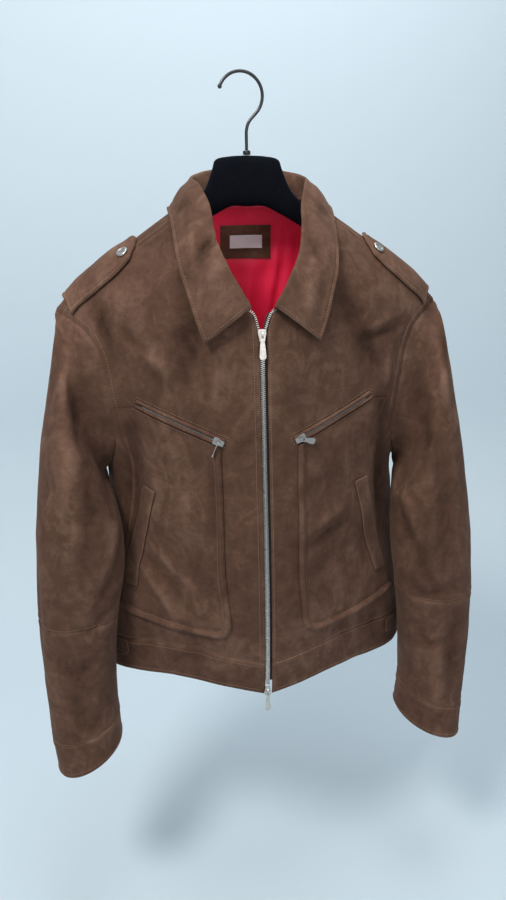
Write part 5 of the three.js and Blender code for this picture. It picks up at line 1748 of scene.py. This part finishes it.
def woven(name, color, raised, threads, twill, strength, **sockets):
    made_of, tree, shader = material(name, **sockets)
    cloth = place_group(tree, weave, {"Threads": threads, "Twill": twill})
    where = add(tree, "ShaderNodeTexCoord").outputs["Object"]
    uneven = spread(tree, noise_of(tree, where, 60, 3), 0.35, 0.65)
    # The raised threads are painted paler than the sunken ones: a painted highlight on the weave.
    shade = blend_of(tree, "MIX", cloth["Raised"], (*color, 1), (*raised, 1))
    shade = blend_of(tree, "MULTIPLY", math_of(tree, "MULTIPLY", uneven, 0.25), shade, (0.7, 0.7, 0.7, 1))
    tree.links.new(shade, shader.inputs["Base Color"])
    bump(tree, shader, cloth["Height"], strength, 0.0002)
    return made_of


def metal(name, color, worn, roughness, scratches, **sockets):
    made_of, tree, shader = material(name, **sockets)
    marks = place_group(tree, wear, {"Scratches": scratches})
    shade = blend_of(tree, "MIX", marks["Mask"], (*color, 1), (*worn, 1))
    tree.links.new(shade, shader.inputs["Base Color"])
    values = {"Value": marks["Mask"], "To Min": roughness, "To Max": roughness + 0.2}
    rough = add(tree, "ShaderNodeMapRange", values)
    tree.links.new(rough.outputs["Result"], shader.inputs["Roughness"])
    bump(tree, shader, marks["Height"], 0.2, 0.00005)
    return made_of


def velvet():
    made_of, tree, shader = material(
        "black_velvet",
        Sheen_Weight=0.5,
        Sheen_Roughness=0.35,
        Sheen_Tint=(0.10, 0.14, 0.24, 1),
        Specular_IOR_Level=0.1,
    )
    dust = place_group(tree, lint, {"Amount": 0.5})
    shade = blend_of(tree, "MIX", dust["Mask"], (0.0022, 0.0032, 0.006, 1), (0.16, 0.17, 0.19, 1))
    tree.links.new(shade, shader.inputs["Base Color"])
    where = add(tree, "ShaderNodeTexCoord").outputs["Object"]
    rough = add(tree, "ShaderNodeMapRange", {"Value": noise_of(tree, where, 90), "To Min": 0.8, "To Max": 1.0})
    tree.links.new(rough.outputs["Result"], shader.inputs["Roughness"])
    bump(tree, shader, noise_of(tree, where, 3200, 2), 0.6, 0.0004)
    return made_of


BROWN = ((0.1, 0.052, 0.035), (0.205, 0.118, 0.083), (0.04, 0.02, 0.013))
body_suede = suede("body_suede", *BROWN, 1.0)
collar_suede = suede("collar_suede", (0.12, 0.064, 0.043), (0.24, 0.142, 0.1), (0.045, 0.023, 0.015), 1.0)
thread = woven(
    "brown_thread", (0.21, 0.125, 0.088), (0.33, 0.21, 0.15), 9000.0, 0.6, 0.3,
    Roughness=0.8, Specular_IOR_Level=0.1,
)
# The lining's base colour is set near full brightness and given a faint red glow: painted light that lifts the
# lining in the shade inside the neck.
red_lining = woven(
    "red_lining", (0.84, 0.02, 0.075), (0.9, 0.03, 0.1), 7000.0, 0.5, 0.25,
    Roughness=0.42, Specular_IOR_Level=0.45, Sheen_Weight=0.1, Sheen_Roughness=0.3,
    Emission_Color=(0.9, 0.02, 0.075, 1), Emission_Strength=0.05,
)
tape_cloth = woven(
    "zip_tape_cloth", (0.018, 0.011, 0.009), (0.035, 0.022, 0.018), 5200.0, 0.0, 0.5, Roughness=0.8
)
label_satin = woven("label_satin", (0.80, 0.84, 0.86), (0.90, 0.93, 0.95), 6000.0, 0.4, 0.3, Roughness=0.4)
zip_nickel = metal("zip_nickel", (0.62, 0.60, 0.57), (0.42, 0.40, 0.38), 0.26, 1.0, Metallic=1.0)
black_wire = metal("black_wire", (0.006, 0.006, 0.008), (0.03, 0.03, 0.034), 0.3, 0.4, Coat_Weight=0.4)
black_velvet = velvet()
FINISH_OF_SLOT = {
    "suede": body_suede,
    "lining": red_lining,
    "zip_tape": tape_cloth,
    "label": label_satin,
    "zip_metal": zip_nickel,
    "velvet": black_velvet,
    "black_metal": black_wire,
}


# ---------- making and finishing the garment ----------
def finish_piece(piece, slot, finish=None, stands_for=()):
    piece.data.materials.clear()
    piece.data.materials.append(finish or FINISH_OF_SLOT[slot])
    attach(piece, "root")
    if stands_for:
        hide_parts(*stands_for)


def declare_cloth(cloth):
    narrow = {name: piece for name, piece in cloth.items() if name.startswith("chest_welt")}
    for name, piece in cloth.items():
        if name in narrow:
            continue


def make_garment():
    cloth = {**make_shell(), **make_straps(), **make_pockets(), **make_side_tabs()}
    cloth["collar"] = make_collar()
    labels = make_labels()
    linings = make_lining()
    tapes = make_tapes()
    for name, piece in {**cloth, **labels, **linings, **tapes}.items():
        slot, finish = "suede", body_suede
        if name in linings:
            slot, finish = "lining", red_lining
        elif name in tapes:
            slot, finish = "zip_tape", tape_cloth
        elif name == "label":
            slot, finish = "label", label_satin
        elif name.startswith(("collar", "shoulder_strap", "label_patch")):
            finish = collar_suede
        finish_piece(piece, slot, finish, [name])
    declare_cloth({**cloth, **labels, **linings, **tapes})
    for seam in (seam_stitches(), trim_stitches(), collar_stitches(collar_grid), label_stitches()):
        finish_piece(seam, "suede", thread)


def make_hardware():
    for name, piece in {**make_chains(), **make_snaps()}.items():
        finish_piece(piece, "zip_metal", stands_for=[name])
    finish_piece(make_hanger(), "velvet", stands_for=["hanger"])
    finish_piece(make_hook(), "black_metal", stands_for=["hanger_hook"])
    finish_piece(make_ferrule(), "black_metal", stands_for=["hanger_ferrule"])
    for name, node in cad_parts.items():
        if name.startswith(("slider", "pull")):
            part = node if isinstance(node, bpy.types.Object) else bpy.data.objects[name]
            part.data.materials.clear()
            part.data.materials.append(zip_nickel)
            soften = part.modifiers.new("softened edges", "BEVEL")
            soften.width, soften.segments, soften.limit_method = 0.00025, 2, "ANGLE"


make_hardware()
make_garment()
